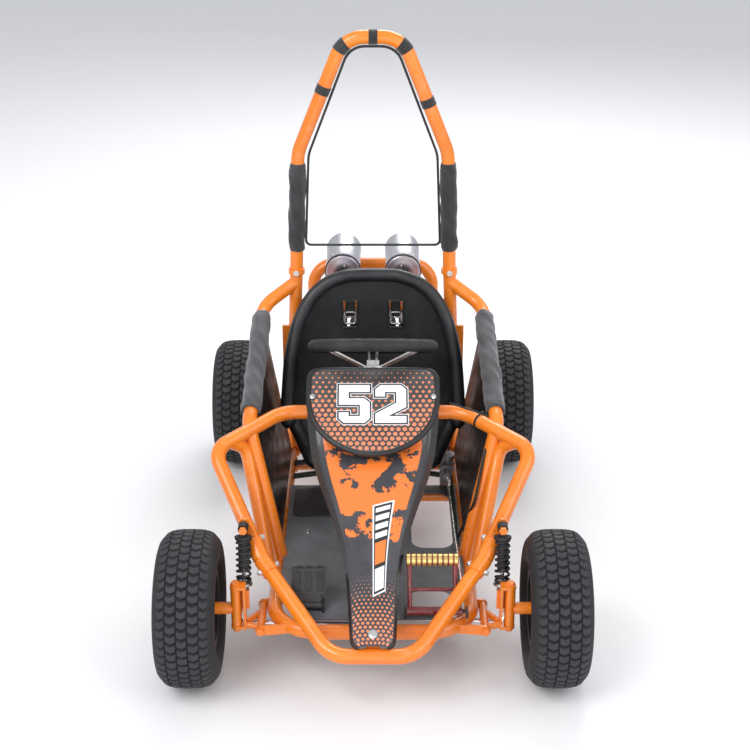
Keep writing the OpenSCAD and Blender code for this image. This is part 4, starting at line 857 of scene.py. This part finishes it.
for side, g in (("Left", 1), ("Right", -1)):
    flipX = np.array([g, 1, 1])
    for kind, cloth, node, seam in (("rail", padCloth, "rail_pads", -1.6),
                                    ("hoop", sleeveCloth, "hoop_pads", 1.2)):
        start, end, radius, core = pad[kind]
        piece = foamPad(kind + "Pad" + side, start * flipX, end * flipX, radius, core, cloth,
                        7 + g + len(kind), seam * g)
        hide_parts(node)
print("pads ready")

# springs

coil = {"radius": 0.0142, "wire": 0.0025, "turns": 7, "low": 0.0228, "high": 0.0258}


def jointFacts(name):
    return [joint for joint in joints if joint["name"] == name][0]


for side in ("left", "right"):
    axis = np.array(jointFacts("shock_stroke_" + side)["axis"], float)
    top = wheelCentre("shock_lean_" + side)
    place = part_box("spring_" + side)
    length = (place[1][2] - place[0][2] - 0.012) / axis[2]
    s = np.linspace(0, 1, 28 * coil["turns"] + 57)
    turnsDone = s * (coil["turns"] + 2)
    rise = np.clip((turnsDone - 1) / coil["turns"], 0, 1) + 0.028 * np.clip(turnsDone - 1, -1, 0)
    rise = rise + 0.028 * np.clip(turnsDone - coil["turns"] - 1, 0, 1)
    first = top - axis * (coil["high"] + length)
    a, b = frameAxes(axis[None], (1, 0, 0))
    spin = 2 * math.pi * turnsDone[:, None]
    path = first + axis * rise[:, None] * length + coil["radius"] * (a * np.cos(spin) + b * np.sin(spin))
    spring = sweep("coilSpring" + side.title(), path, coil["wire"], rubber, sides=12, hint=tuple(axis))
    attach(spring, "shock_body_" + side)
    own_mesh(spring)
    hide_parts("spring_" + side)
print("springs ready")

# floor

sheetFloor = NodeSheet("paleFloor")
faint = sheetFloor.mix(sheetFloor.noise(3.0, 2), (0.80, 0.805, 0.815), (0.82, 0.825, 0.835))
paleFloor = sheetFloor.finish(faint, 0.9)
ground = surface("ground", np.array([[[-30.0, -30.0, -0.0005], [-30.0, 30.0, -0.0005]],
                                     [[30.0, -30.0, -0.0005], [30.0, 30.0, -0.0005]]]), paleFloor, flip=True)

# steering wheel grip, brake foot tube, silencers


def lathe(name, axisStart, axisEnd, profile, material, sides=48, smooth=True):
    # profile rows are (distance along the axis, radius); both ends close on the axis
    start = np.asarray(axisStart, float)
    along = np.asarray(axisEnd, float) - start
    along = along / np.linalg.norm(along)
    a, b = frameAxes(along[None], (0.2, 0.1, 0.97) if abs(along[2]) < 0.9 else (1, 0, 0))
    angle = np.linspace(0, 2 * math.pi, sides, endpoint=False)[:, None]
    ring = a * np.cos(angle) + b * np.sin(angle)
    rows = np.array([(profile[0][0], 1e-5)] + list(profile) + [(profile[-1][0], 1e-5)])
    points = start + along * rows[:, 0][:, None, None] + ring[None] * rows[:, 1][:, None, None]
    uv = np.stack(np.broadcast_arrays(rows[:, :1], angle.T * rows[:, 1].max()), -1).copy()
    piece = surface(name, points, material, loopV=True, uv=uv, flip=True)
    if smooth:
        piece.data.set_sharp_from_angle(angle=math.radians(35))
    return piece


grip = {"centre": (0.0, 0.0188, 0.5372), "axis": (0.0, 0.4195, 0.9078), "ring": 0.136, "radius": 0.0145}
angle = np.linspace(0, 2 * math.pi, 288, endpoint=False)
a, b = frameAxes(np.array([grip["axis"]]), (1, 0, 0))
ringPath = np.array(grip["centre"]) + grip["ring"] * (a * np.cos(angle)[:, None] + b * np.sin(angle)[:, None])
wave = grip["radius"] + 0.00025 * np.cos(24 * angle)
gripCover = sweep("gripCover", ringPath, wave, rubber, sides=24, hint=grip["axis"], closed=True)
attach(gripCover, "steering")

foot = {"y": -0.447, "z": 0.250, "from": 0.070, "to": 0.180, "radius": 0.0134}
profile = [(0.0, 0.0115), (0.0015, foot["radius"])]
for k in range(9):
    t = 0.008 + 0.0112 * k
    profile += [(t, foot["radius"]), (t + 0.001, foot["radius"] - 0.0009),
                (t + 0.003, foot["radius"] - 0.0009), (t + 0.004, foot["radius"])]
profile += [(0.1085, foot["radius"]), (0.110, 0.0115)]
footTube = lathe("brakeFootTube", (foot["from"], foot["y"], foot["z"]), (foot["to"], foot["y"], foot["z"]),
                 profile, goldTube)
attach(footTube, "brake")

silencer = {"x": 0.076, "z": 0.575, "front": 0.394, "radius": 0.044}
bodies, caps = [], []
for side, g in (("Left", 1), ("Right", -1)):
    start = (g * silencer["x"], silencer["front"], silencer["z"])
    end = (g * silencer["x"], 0.6, silencer["z"])
    r = silencer["radius"]
    profile = [(-0.0008, 0.0135), (-0.0008, 0.018), (0.0015, 0.028), (0.0055, 0.036), (0.006, 0.041),
               (0.008, r), (0.011, r + 0.0012), (0.015, r + 0.0012), (0.017, r),
               (0.030, r), (0.0305, r + 0.0005), (0.044, r + 0.0005), (0.0445, r), (0.168, r),
               (0.170, r + 0.0012), (0.178, r + 0.0012), (0.182, r - 0.001), (0.186, 0.039),
               (0.1865, 0.024), (0.184, 0.019), (0.160, 0.018)]
    bodies.append(lathe("silencerBody" + side, start, end, profile, tinted, 64))
    profile = [(0.0075, 0.0436), (0.0072, 0.0448), (0.0078, 0.0458), (0.0160, 0.0458), (0.0166, 0.0448),
               (0.0160, 0.0436)]
    caps.append(lathe("silencerBand" + side, start, end, profile, rubber, 64))
    clamp = [(-0.0100, 0.0112), (-0.0100, 0.0155), (-0.0090, 0.0165), (-0.0030, 0.0165), (-0.0020, 0.0155),
             (-0.0010, 0.0150)]
    caps.append(lathe("silencerClamp" + side, start, end, clamp, rubber, 40))
    lug = np.array(start) + (0.0, -0.006, 0.0195)
    caps.append(bolt("clampBolt" + side, lug - np.array([0.006 * g, 0, 0]), (g, 0, 0), 0.0036, zinc))
    for ring, count in ((0.0375, 10), (0.174, 10)):
        turn = np.arange(count) * 2 * math.pi / count + 0.3
        for k, t in enumerate(turn):
            out = np.array([math.cos(t), 0.0, math.sin(t)])
            caps.append(bolt("rivet%s%d_%d" % (side, ring * 1000, k),
                             np.array(start) + (0, ring, 0) + out * (r + 0.0004), out, 0.0018, zinc, 0.2))
silencerWhole = join("silencerPair", bodies + caps)
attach(silencerWhole, "chassis")
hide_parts("silencers")
print("grip, foot tube and silencers ready")

# chain of separate links

chain = {"axle": (0.500, 0.165), "motor": (0.350, 0.265), "big": 0.0708, "small": 0.0225, "x": -0.130,
         "pitch": 0.0127}


def beltPath(c1, r1, c2, r2, count):
    # closed line round two circles: outer tangents and the two arcs, walked at even steps
    c1, c2 = np.array(c1), np.array(c2)
    v = c2 - c1
    turn = math.atan2(v[1], v[0])
    half = math.acos((r1 - r2) / np.linalg.norm(v))
    first = np.linspace(turn + half, turn + 2 * math.pi - half, 300)
    second = np.linspace(turn - half, turn + half, 120)
    line = np.concatenate([c1 + r1 * np.stack([np.cos(first), np.sin(first)], -1),
                           c2 + r2 * np.stack([np.cos(second), np.sin(second)], -1)])
    line = np.concatenate([line, line[:1]])
    walked = np.concatenate([[0], np.cumsum(np.linalg.norm(np.diff(line, axis=0), axis=1))])
    count = int(round(walked[-1] / count / 2) * 2)
    spots = np.linspace(0, walked[-1], count, endpoint=False)
    return np.stack([np.interp(spots, walked, line[:, k]) for k in range(2)], -1)


pins = beltPath(chain["axle"], chain["big"], chain["motor"], chain["small"], chain["pitch"])
ahead = np.roll(pins, -1, 0) - pins
turnTo = ahead / np.linalg.norm(ahead, axis=1, keepdims=True)
sideOf = np.stack([-turnTo[:, 1], turnTo[:, 0]], -1)
arcA = np.linspace(math.pi / 2, 3 * math.pi / 2, 7)
endA = np.stack([np.cos(arcA), np.sin(arcA)], -1) * 0.0045
plateLine = np.concatenate([endA, [[chain["pitch"] / 2, -0.0033]], -endA + [chain["pitch"], 0],
                            [[chain["pitch"] / 2, 0.0033]]])
linkParts = []
for layer, (x0, x1) in enumerate(((-0.0068, -0.0053), (0.0053, 0.0068), (-0.0050, -0.0038),
                                  (0.0038, 0.0050))):
    chosen = np.arange(len(pins)) % 2 == (0 if layer < 2 else 1)
    base, t, n = pins[chosen], turnTo[chosen], sideOf[chosen]
    flat = base[:, None] + plateLine[None, :, :1] * t[:, None] + plateLine[None, :, 1:] * n[:, None]
    core = base + t * chain["pitch"] / 2
    core = np.repeat(core[:, None], len(plateLine), 1)
    rings = [(x0, core), (x0, flat), (x1, flat), (x1, core)]
    for k in range(len(base)):
        pts = np.stack([np.concatenate([np.full((len(plateLine), 1), chain["x"] + x), f[k]],
                                       1) for x, f in rings])
        pts[0] += (pts[1] - pts[0]) * 1e-3
        pts[3] += (pts[2] - pts[3]) * 1e-3
        linkParts.append(pts)
rollTurn = np.linspace(0, 2 * math.pi, 10, endpoint=False)
for k in range(len(pins)):
    disc = pins[k] + 0.0040 * np.stack([np.cos(rollTurn), np.sin(rollTurn)], -1)
    thin = pins[k] + 0.0018 * np.stack([np.cos(rollTurn), np.sin(rollTurn)], -1)
    dot = pins[k] + 1e-5 * np.stack([np.cos(rollTurn), np.sin(rollTurn)], -1)
    rows = [(-0.0076, dot), (-0.0076, thin), (-0.0037, thin), (-0.0037, disc), (0.0037, disc), (0.0037, thin),
            (0.0076, thin), (0.0076, dot)]
    linkParts.append(np.stack([np.concatenate([np.full((10, 1), chain["x"] + x), f], 1) for x, f in rows]))


def manyRings(name, blocks, material, sharp=35):
    # many closed-ring surfaces of any size in one mesh, built with whole-array index sums
    points, quads, base = [], [], 0
    for block in blocks:
        m, n = block.shape[:2]
        i, j = np.meshgrid(np.arange(m - 1), np.arange(n), indexing="ij")
        k = (j + 1) % n
        quads.append(base + np.stack([i * n + j, i * n + k, (i + 1) * n + k, (i + 1) * n + j],
                                     -1).reshape(-1, 4))
        points.append(block.reshape(-1, 3))
        base += m * n
    quads = np.concatenate(quads)
    mesh = bpy.data.meshes.new(name)
    mesh.vertices.add(base)
    mesh.vertices.foreach_set("co", np.concatenate(points).reshape(-1).astype(np.float32))
    mesh.loops.add(quads.size)
    mesh.loops.foreach_set("vertex_index", quads.reshape(-1).astype(np.int32))
    mesh.polygons.add(len(quads))
    mesh.polygons.foreach_set("loop_start", np.arange(0, quads.size, 4, dtype=np.int32))
    mesh.update(calc_edges=True)
    mesh.validate()
    mesh.set_sharp_from_angle(angle=math.radians(sharp))
    mesh.materials.append(material)
    return addObject(name, mesh)


chainPiece = manyRings("driveChainLinks", linkParts, chainSteel)
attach(chainPiece, "chassis")
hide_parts("drive_chain")

# wheel bolts and valves

wheelFit = {"disc": 0.0032, "circle": 0.0315, "bolt": 0.0046, "valve": 0.066}


def wheelTrim(name, centre, g, body):
    trim = []
    for k in range(5):
        t = 2 * math.pi * k / 5 + math.pi / 5
        spot = centre + np.array([g * wheelFit["disc"], wheelFit["circle"] * math.sin(t),
                                  wheelFit["circle"] * math.cos(t)])
        trim.append(bolt("%sBolt%d" % (name, k), spot, (g, 0, 0), wheelFit["bolt"], zinc))
    base = centre + np.array([g * 0.002, 0.0, wheelFit["valve"]])
    tip = base + np.array([g * 0.024, 0.0, -0.004])
    trim.append(lathe(name + "Valve", base, tip, [(0.0, 0.0055), (0.003, 0.0055), (0.005, 0.0038),
                                                  (0.014, 0.0030), (0.015, 0.0026), (0.022, 0.0026),
                                                  (0.0235, 0.0018)], rubber, 16))
    whole = join(name + "Trim", trim)
    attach(whole, body)


for side, g in (("left", 1), ("right", -1)):
    wheelTrim("front" + side.title(), wheelCentre("front_spin_" + side), g, "front_wheel_" + side)
    wheelTrim("rear" + side.title(), np.array([g * rearX, rearCentre[1], rearCentre[2]]), g, "rear_axle")
print("chain and wheel trim ready")

# weld beads

tube = {"bead": 0.0032, "ripples": 34}


def weldRing(centre, axis, radius):
    # ring of overlapping scallops: its thickness swings with a folded sine along the ring
    centre, axis = np.asarray(centre, float), np.asarray(axis, float)
    a, b = frameAxes(axis[None] / np.linalg.norm(axis), (0.13, 0.37, 0.91))
    t = np.linspace(0, 2 * math.pi, 136, endpoint=False)
    out = a * np.cos(t)[:, None] + b * np.sin(t)[:, None]
    thick = tube["bead"] * (0.78 + 0.22 * np.abs(np.sin(t * tube["ripples"] / 2)))
    section = np.linspace(0, 2 * math.pi, 9)
    along = axis / np.linalg.norm(axis)
    ring = centre + out * radius
    return np.stack([ring + thick[:, None] * (out * math.cos(q) + along * math.sin(q)) for q in section])


weldPlaces = []
for g in (1, -1):
    for y in (-0.335, 0.040, 0.200, 0.285, 0.390):
        weldPlaces.append(((g * 0.1935, y, 0.130), (1, 0, 0), 0.0158 if y < 0.3 else 0.0158))
    weldPlaces.append(((g * 0.2089, 0.2852, 0.1455), (g * -0.04, 0.01, 1), 0.0160))
    weldPlaces.append(((g * 0.1715, 0.289, 0.365), (1, 0, 0), 0.0130))
    weldPlaces.append(((g * 0.1705, 0.289, 0.530), (1, 0, 0), 0.0130))
    weldPlaces.append(((g * 0.160, 0.590, 0.1462), (0, 0.14, 1), 0.0160))
    weldPlaces.append(((g * 0.2135, -0.2490, 0.1490), (0.24, 0.30, 0.93), 0.0160))
welds = manyRings("weldBeads", [weldRing(*place) for place in weldPlaces], framePaint, 80)
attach(welds, "chassis")
print("welds ready")

# harness tabs on the seat cross tube, seen through the slots

tabs = {"x": 0.056, "tube": (0.289, 0.530), "radius": 0.0131, "wide": 0.024, "buckle": (0.2745, 0.502),
        "half": (0.0135, 0.0155), "wire": 0.0024, "bar": 0.0021, "tailHalf": 0.0105, "tailThick": 0.0012}
bandParts, buckleParts = [], []
for side, g in (("Left", 1), ("Right", -1)):
    centre = np.array([g * tabs["x"] - tabs["wide"] / 2, *tabs["tube"]])
    r = tabs["radius"]
    bandParts.append(lathe("harnessBand" + side, centre, centre + (1, 0, 0),
                           [(0.0, r - 0.001), (0.0, r + 0.0012), (0.001, r + 0.0016), (0.023, r + 0.0016),
                            (0.024, r + 0.0012), (0.024, r - 0.001)], strapCloth, 40))
    # frame of the buckle hangs below the tube on the seat side: a squared oval
    t = np.linspace(0, 2 * math.pi, 48, endpoint=False)
    box = np.stack([tabs["half"][0] * np.sign(np.cos(t)) * np.abs(np.cos(t)) ** 0.4, np.zeros(48),
                    tabs["half"][1] * np.sign(np.sin(t)) * np.abs(np.sin(t)) ** 0.4], -1)
    spot = np.array([g * tabs["x"], *tabs["buckle"]])
    barEnds = spot + [[-0.0125, 0, 0.002], [0.0125, 0, 0.002]]
    buckleParts.append(sweep("buckleFrame" + side, spot + box, tabs["wire"], chrome, sides=10, hint=(0, 1, 0),
                             closed=True))
    buckleParts.append(sweep("buckleBar" + side, barEnds, tabs["bar"], chrome, sides=12))
    tail = [[g * tabs["x"], 0.2752, 0.536], [g * tabs["x"], 0.2735, 0.520], [g * tabs["x"], 0.2742, 0.5045]]
    line = smoothRows(np.array(tail), np.linspace(0, 2, 25))
    strip = np.stack([line + (x, 0, 0) for x in np.linspace(-tabs["tailHalf"], tabs["tailHalf"], 9)], 1)
    bandParts.append(thickSheet("harnessTail" + side, strip, strip + (0, tabs["tailThick"], 0), strapCloth))
tabPiece = join("harnessTabs", bandParts + buckleParts)
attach(tabPiece, "chassis")

# pedal treads, cable ties, painted shade sheet on the floor pan

throttle = {"hinge": (-0.136, -0.486, 0.162), "tilt": -28.0, "left": -0.036}


def onThrottle(points):
    # pedal places (across, out, up) to the row frame, by its lean about the hinge
    q = math.radians(throttle["tilt"])
    x, y, z = points[..., 0], points[..., 1], points[..., 2]
    h = throttle["hinge"]
    return np.stack([x + h[0] + throttle["left"], h[1] + y * math.cos(q) - z * math.sin(q),
                     h[2] + y * math.sin(q) + z * math.cos(q)], -1)


def roundedBox(low, high, edge, place=None):
    # box whose rings follow a squared oval; used for small blocks
    low, high = np.asarray(low, float), np.asarray(high, float)
    mid, half = (low + high) / 2, (high - low) / 2
    t = np.linspace(0, 2 * math.pi, 48, endpoint=False)
    c, d = np.cos(t), np.sin(t)
    c, d = np.sign(c) * np.abs(c) ** 0.22, np.sign(d) * np.abs(d) ** 0.22
    rows = [(-1, 1e-4), (-1, 1 - edge / half[:2].min()), (-1 + edge / half[2], 1), (1 - edge / half[2], 1),
            (1, 1 - edge / half[:2].min()), (1, 1e-4)]
    rings = np.stack([np.stack([mid[0] + half[0] * c * k, mid[1] + half[1] * d * k,
                                np.full(48, mid[2] + half[2] * z)],
                               -1) for z, k in rows])
    return place(rings) if place else rings


treads = [roundedBox((0.004, 0.0050, 0.030 + 0.013 * k), (0.068, 0.0085, 0.038 + 0.013 * k), 0.0012,
                     onThrottle)
          for k in range(3)]
treads += [roundedBox((0.010 + 0.021 * k, -0.001, 0.0795), (0.022 + 0.021 * k, 0.019, 0.0822), 0.0010,
                      onThrottle)
           for k in range(3)]
treads += [roundedBox((0.006 + 0.024 * k, -0.0090, 0.030), (0.019 + 0.024 * k, -0.0055, 0.072), 0.0012,
                      onThrottle)
           for k in range(3)]
pedalTreads = manyRings("throttleTreads", treads, rubber)
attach(pedalTreads, "throttle")

# thin black sheet on the floor pan: painted shade where the pan's rear part bends up and falls darker
panShade = {"x": (-0.188, -0.030), "y": (-0.098, 0.036), "z": 0.1524}
panShadePiece = manyRings("floorMat", [roundedBox((panShade["x"][0], panShade["y"][0], panShade["z"] - 0.0002),
                                             (panShade["x"][1], panShade["y"][1], panShade["z"] + 0.0016), 0.0006)],
                                             blackPlastic)
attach(panShadePiece, "chassis")

tie = {"tube": 0.0165, "cable": 0.0035, "off": 0.0199, "wide": 0.0026}


def cableTie(start, end, share, toCable):
    # band round tube and cable: its support is the larger of theirs, and its points follow from the slope
    start, end = np.asarray(start, float), np.asarray(end, float)
    along = (end - start) / np.linalg.norm(end - start)
    a, b = frameAxes(along[None], toCable)
    t = np.linspace(0, 2 * math.pi, 64, endpoint=False)
    support = np.maximum(tie["tube"], tie["off"] * np.cos(t) + tie["cable"])
    slope = np.gradient(np.concatenate([support[-2:], support, support[:2]]))[2:-2] / (t[1] - t[0])
    outA = support * np.cos(t) - slope * np.sin(t)
    outB = support * np.sin(t) + slope * np.cos(t)
    line = a * outA[:, None] + b * outB[:, None]
    centre = start + (end - start) * share
    out = line / np.linalg.norm(line, axis=1, keepdims=True)
    rows = [(-1, 0.0), (-1, 0.0010), (1, 0.0010), (1, 0.0), (-1, 0.0)]
    return np.stack([centre + line + out * (h - 0.0002) + along * tie["wide"] * w for w, h in rows])


tubeEnds = ((0.204, -0.107, 0.430), (0.348, -0.254, 0.410))
ties = [cableTie(*tubeEnds, 0.24, (0, 0.55, 0.83))]
tiePiece = manyRings("cableTies", ties, rubber, 50)
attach(tiePiece, "chassis")

# engine hardware and tank filler cap

engineBits = {"crank": np.array([0.0, 0.350, 0.265]), "lean": math.radians(-25), "head": 0.153,
              "headHalf": (0.040, 0.030), "headBolt": 0.0052, "plugBack": 0.012, "lead": 0.0033,
              "case": (-0.0600, -0.002, -0.035), "caseHalf": 0.040, "caseBolt": 0.0045,
              "starterFace": 0.0965, "ribs": 16, "ribSpan": (0.016, 0.038), "rib": 0.0020, "hub": 0.0065}
tankBits = {"cap": (0.0, 0.342, 0.488), "capRadius": 0.0192, "knurl": 0.0007, "ribs": 20,
            "seam": (0.0, 0.342, 0.450), "seamHalf": (0.0566, 0.0286), "seamThick": 0.0016}
crank = engineBits["crank"]


def onCylinder(x, y, z):
    # engine places along the leaning cylinder to the row frame
    lean = engineBits["lean"]
    return crank + np.array([x, y * math.cos(lean) - z * math.sin(lean),
                             y * math.sin(lean) + z * math.cos(lean)])


up = onCylinder(0, 0, 1) - crank
headX, headY = engineBits["headHalf"]
hardware = [bolt("headBolt%d" % k, onCylinder(x, y, engineBits["head"]), up, engineBits["headBolt"], zinc)
            for k, (x, y) in enumerate(((-headX, -headY), (headX, -headY), (-headX, headY), (headX, headY)))]
plugAt = onCylinder(0.0, engineBits["plugBack"], engineBits["head"])
plugShape = [(0.0, 0.011), (0.004, 0.011), (0.005, 0.007), (0.012, 0.007)]
bootShape = [(0.0, 0.0085), (0.012, 0.0088), (0.016, 0.0075), (0.026, 0.0070), (0.028, 0.0050)]
hardware.append(lathe("sparkPlug", plugAt, plugAt + up, plugShape, zinc, 6, False))
hardware.append(lathe("plugBoot", plugAt + up * 0.011, plugAt + up, bootShape, rubber, 24))
leadPoints = [plugAt + up * 0.034, plugAt + up * 0.046 + (0.018, -0.004, 0), onCylinder(0.058, 0.004, 0.150),
              onCylinder(0.066, 0.002, 0.110), onCylinder(0.058, -0.006, 0.070), crank + (0.066, 0.02, 0.052)]
lead = smoothRows(leadPoints, np.linspace(0, 5, 80))
hardware.append(sweep("plugLead", lead, engineBits["lead"], rubber, sides=12))
caseHalf = engineBits["caseHalf"]
caseAt = crank + engineBits["case"]
for k, (y, z) in enumerate(((-caseHalf, -caseHalf), (caseHalf, -caseHalf), (-caseHalf, caseHalf),
                            (caseHalf, caseHalf))):
    hardware.append(bolt("crankBolt%d" % k, caseAt + (0, y, z), (-1, 0, 0), engineBits["caseBolt"], zinc))
# raised ribs round the starter's face
starter = crank + (engineBits["starterFace"], 0, 0)
for k in range(engineBits["ribs"]):
    t = 2 * math.pi * k / engineBits["ribs"]
    out = np.array([0.0, math.cos(t), math.sin(t)])
    hardware.append(sweep("starterRib%d" % k, [starter + out * r for r in engineBits["ribSpan"]],
                          engineBits["rib"], framePaint, sides=10, hint=(1, 0, 0)))
hardware.append(bolt("starterCentre", starter - (0.0005, 0, 0), (1, 0, 0), engineBits["hub"], zinc))
t = np.linspace(0, 2 * math.pi, 160, endpoint=False)
# filler cap: radius steps in and out with the sign of a sine; rows are (height, share of that radius)
knurl = tankBits["capRadius"] + tankBits["knurl"] * np.sign(np.sin(t * tankBits["ribs"]))
capRows = ((0.0, 0.005), (0.0, 1.0), (0.011, 1.0), (0.0135, 0.9), (0.014, 0.5), (0.0155, 0.4),
           (0.0158, 0.005))
capX, capY, capZ = tankBits["cap"]
rings = np.stack([np.stack([capX + knurl * share * np.cos(t), capY + knurl * share * np.sin(t),
                            np.full(160, capZ + z)], -1) for z, share in capRows])
hardware.append(manyRings("tankCap", [rings], blackPlastic, 30))
hardwareWhole = join("engineHardware", hardware)
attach(hardwareWhole, "chassis")

# seam of the tank
seamTurn = np.linspace(0, 2 * math.pi, 200, endpoint=False)
seamCos, seamSin = np.cos(seamTurn), np.sin(seamTurn)
seamX, seamZ = tankBits["seamHalf"]
seamLine = np.stack([seamX * np.sign(seamCos) * np.abs(seamCos) ** 0.30, np.zeros(200),
                     seamZ * np.sign(seamSin) * np.abs(seamSin) ** 0.45], -1)
tankSeam = sweep("tankSeam", np.array(tankBits["seam"]) + seamLine, tankBits["seamThick"], blackPlastic,
                 sides=8, hint=(0, 1, 0), closed=True)
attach(tankSeam, "chassis")
print("hardware ready")
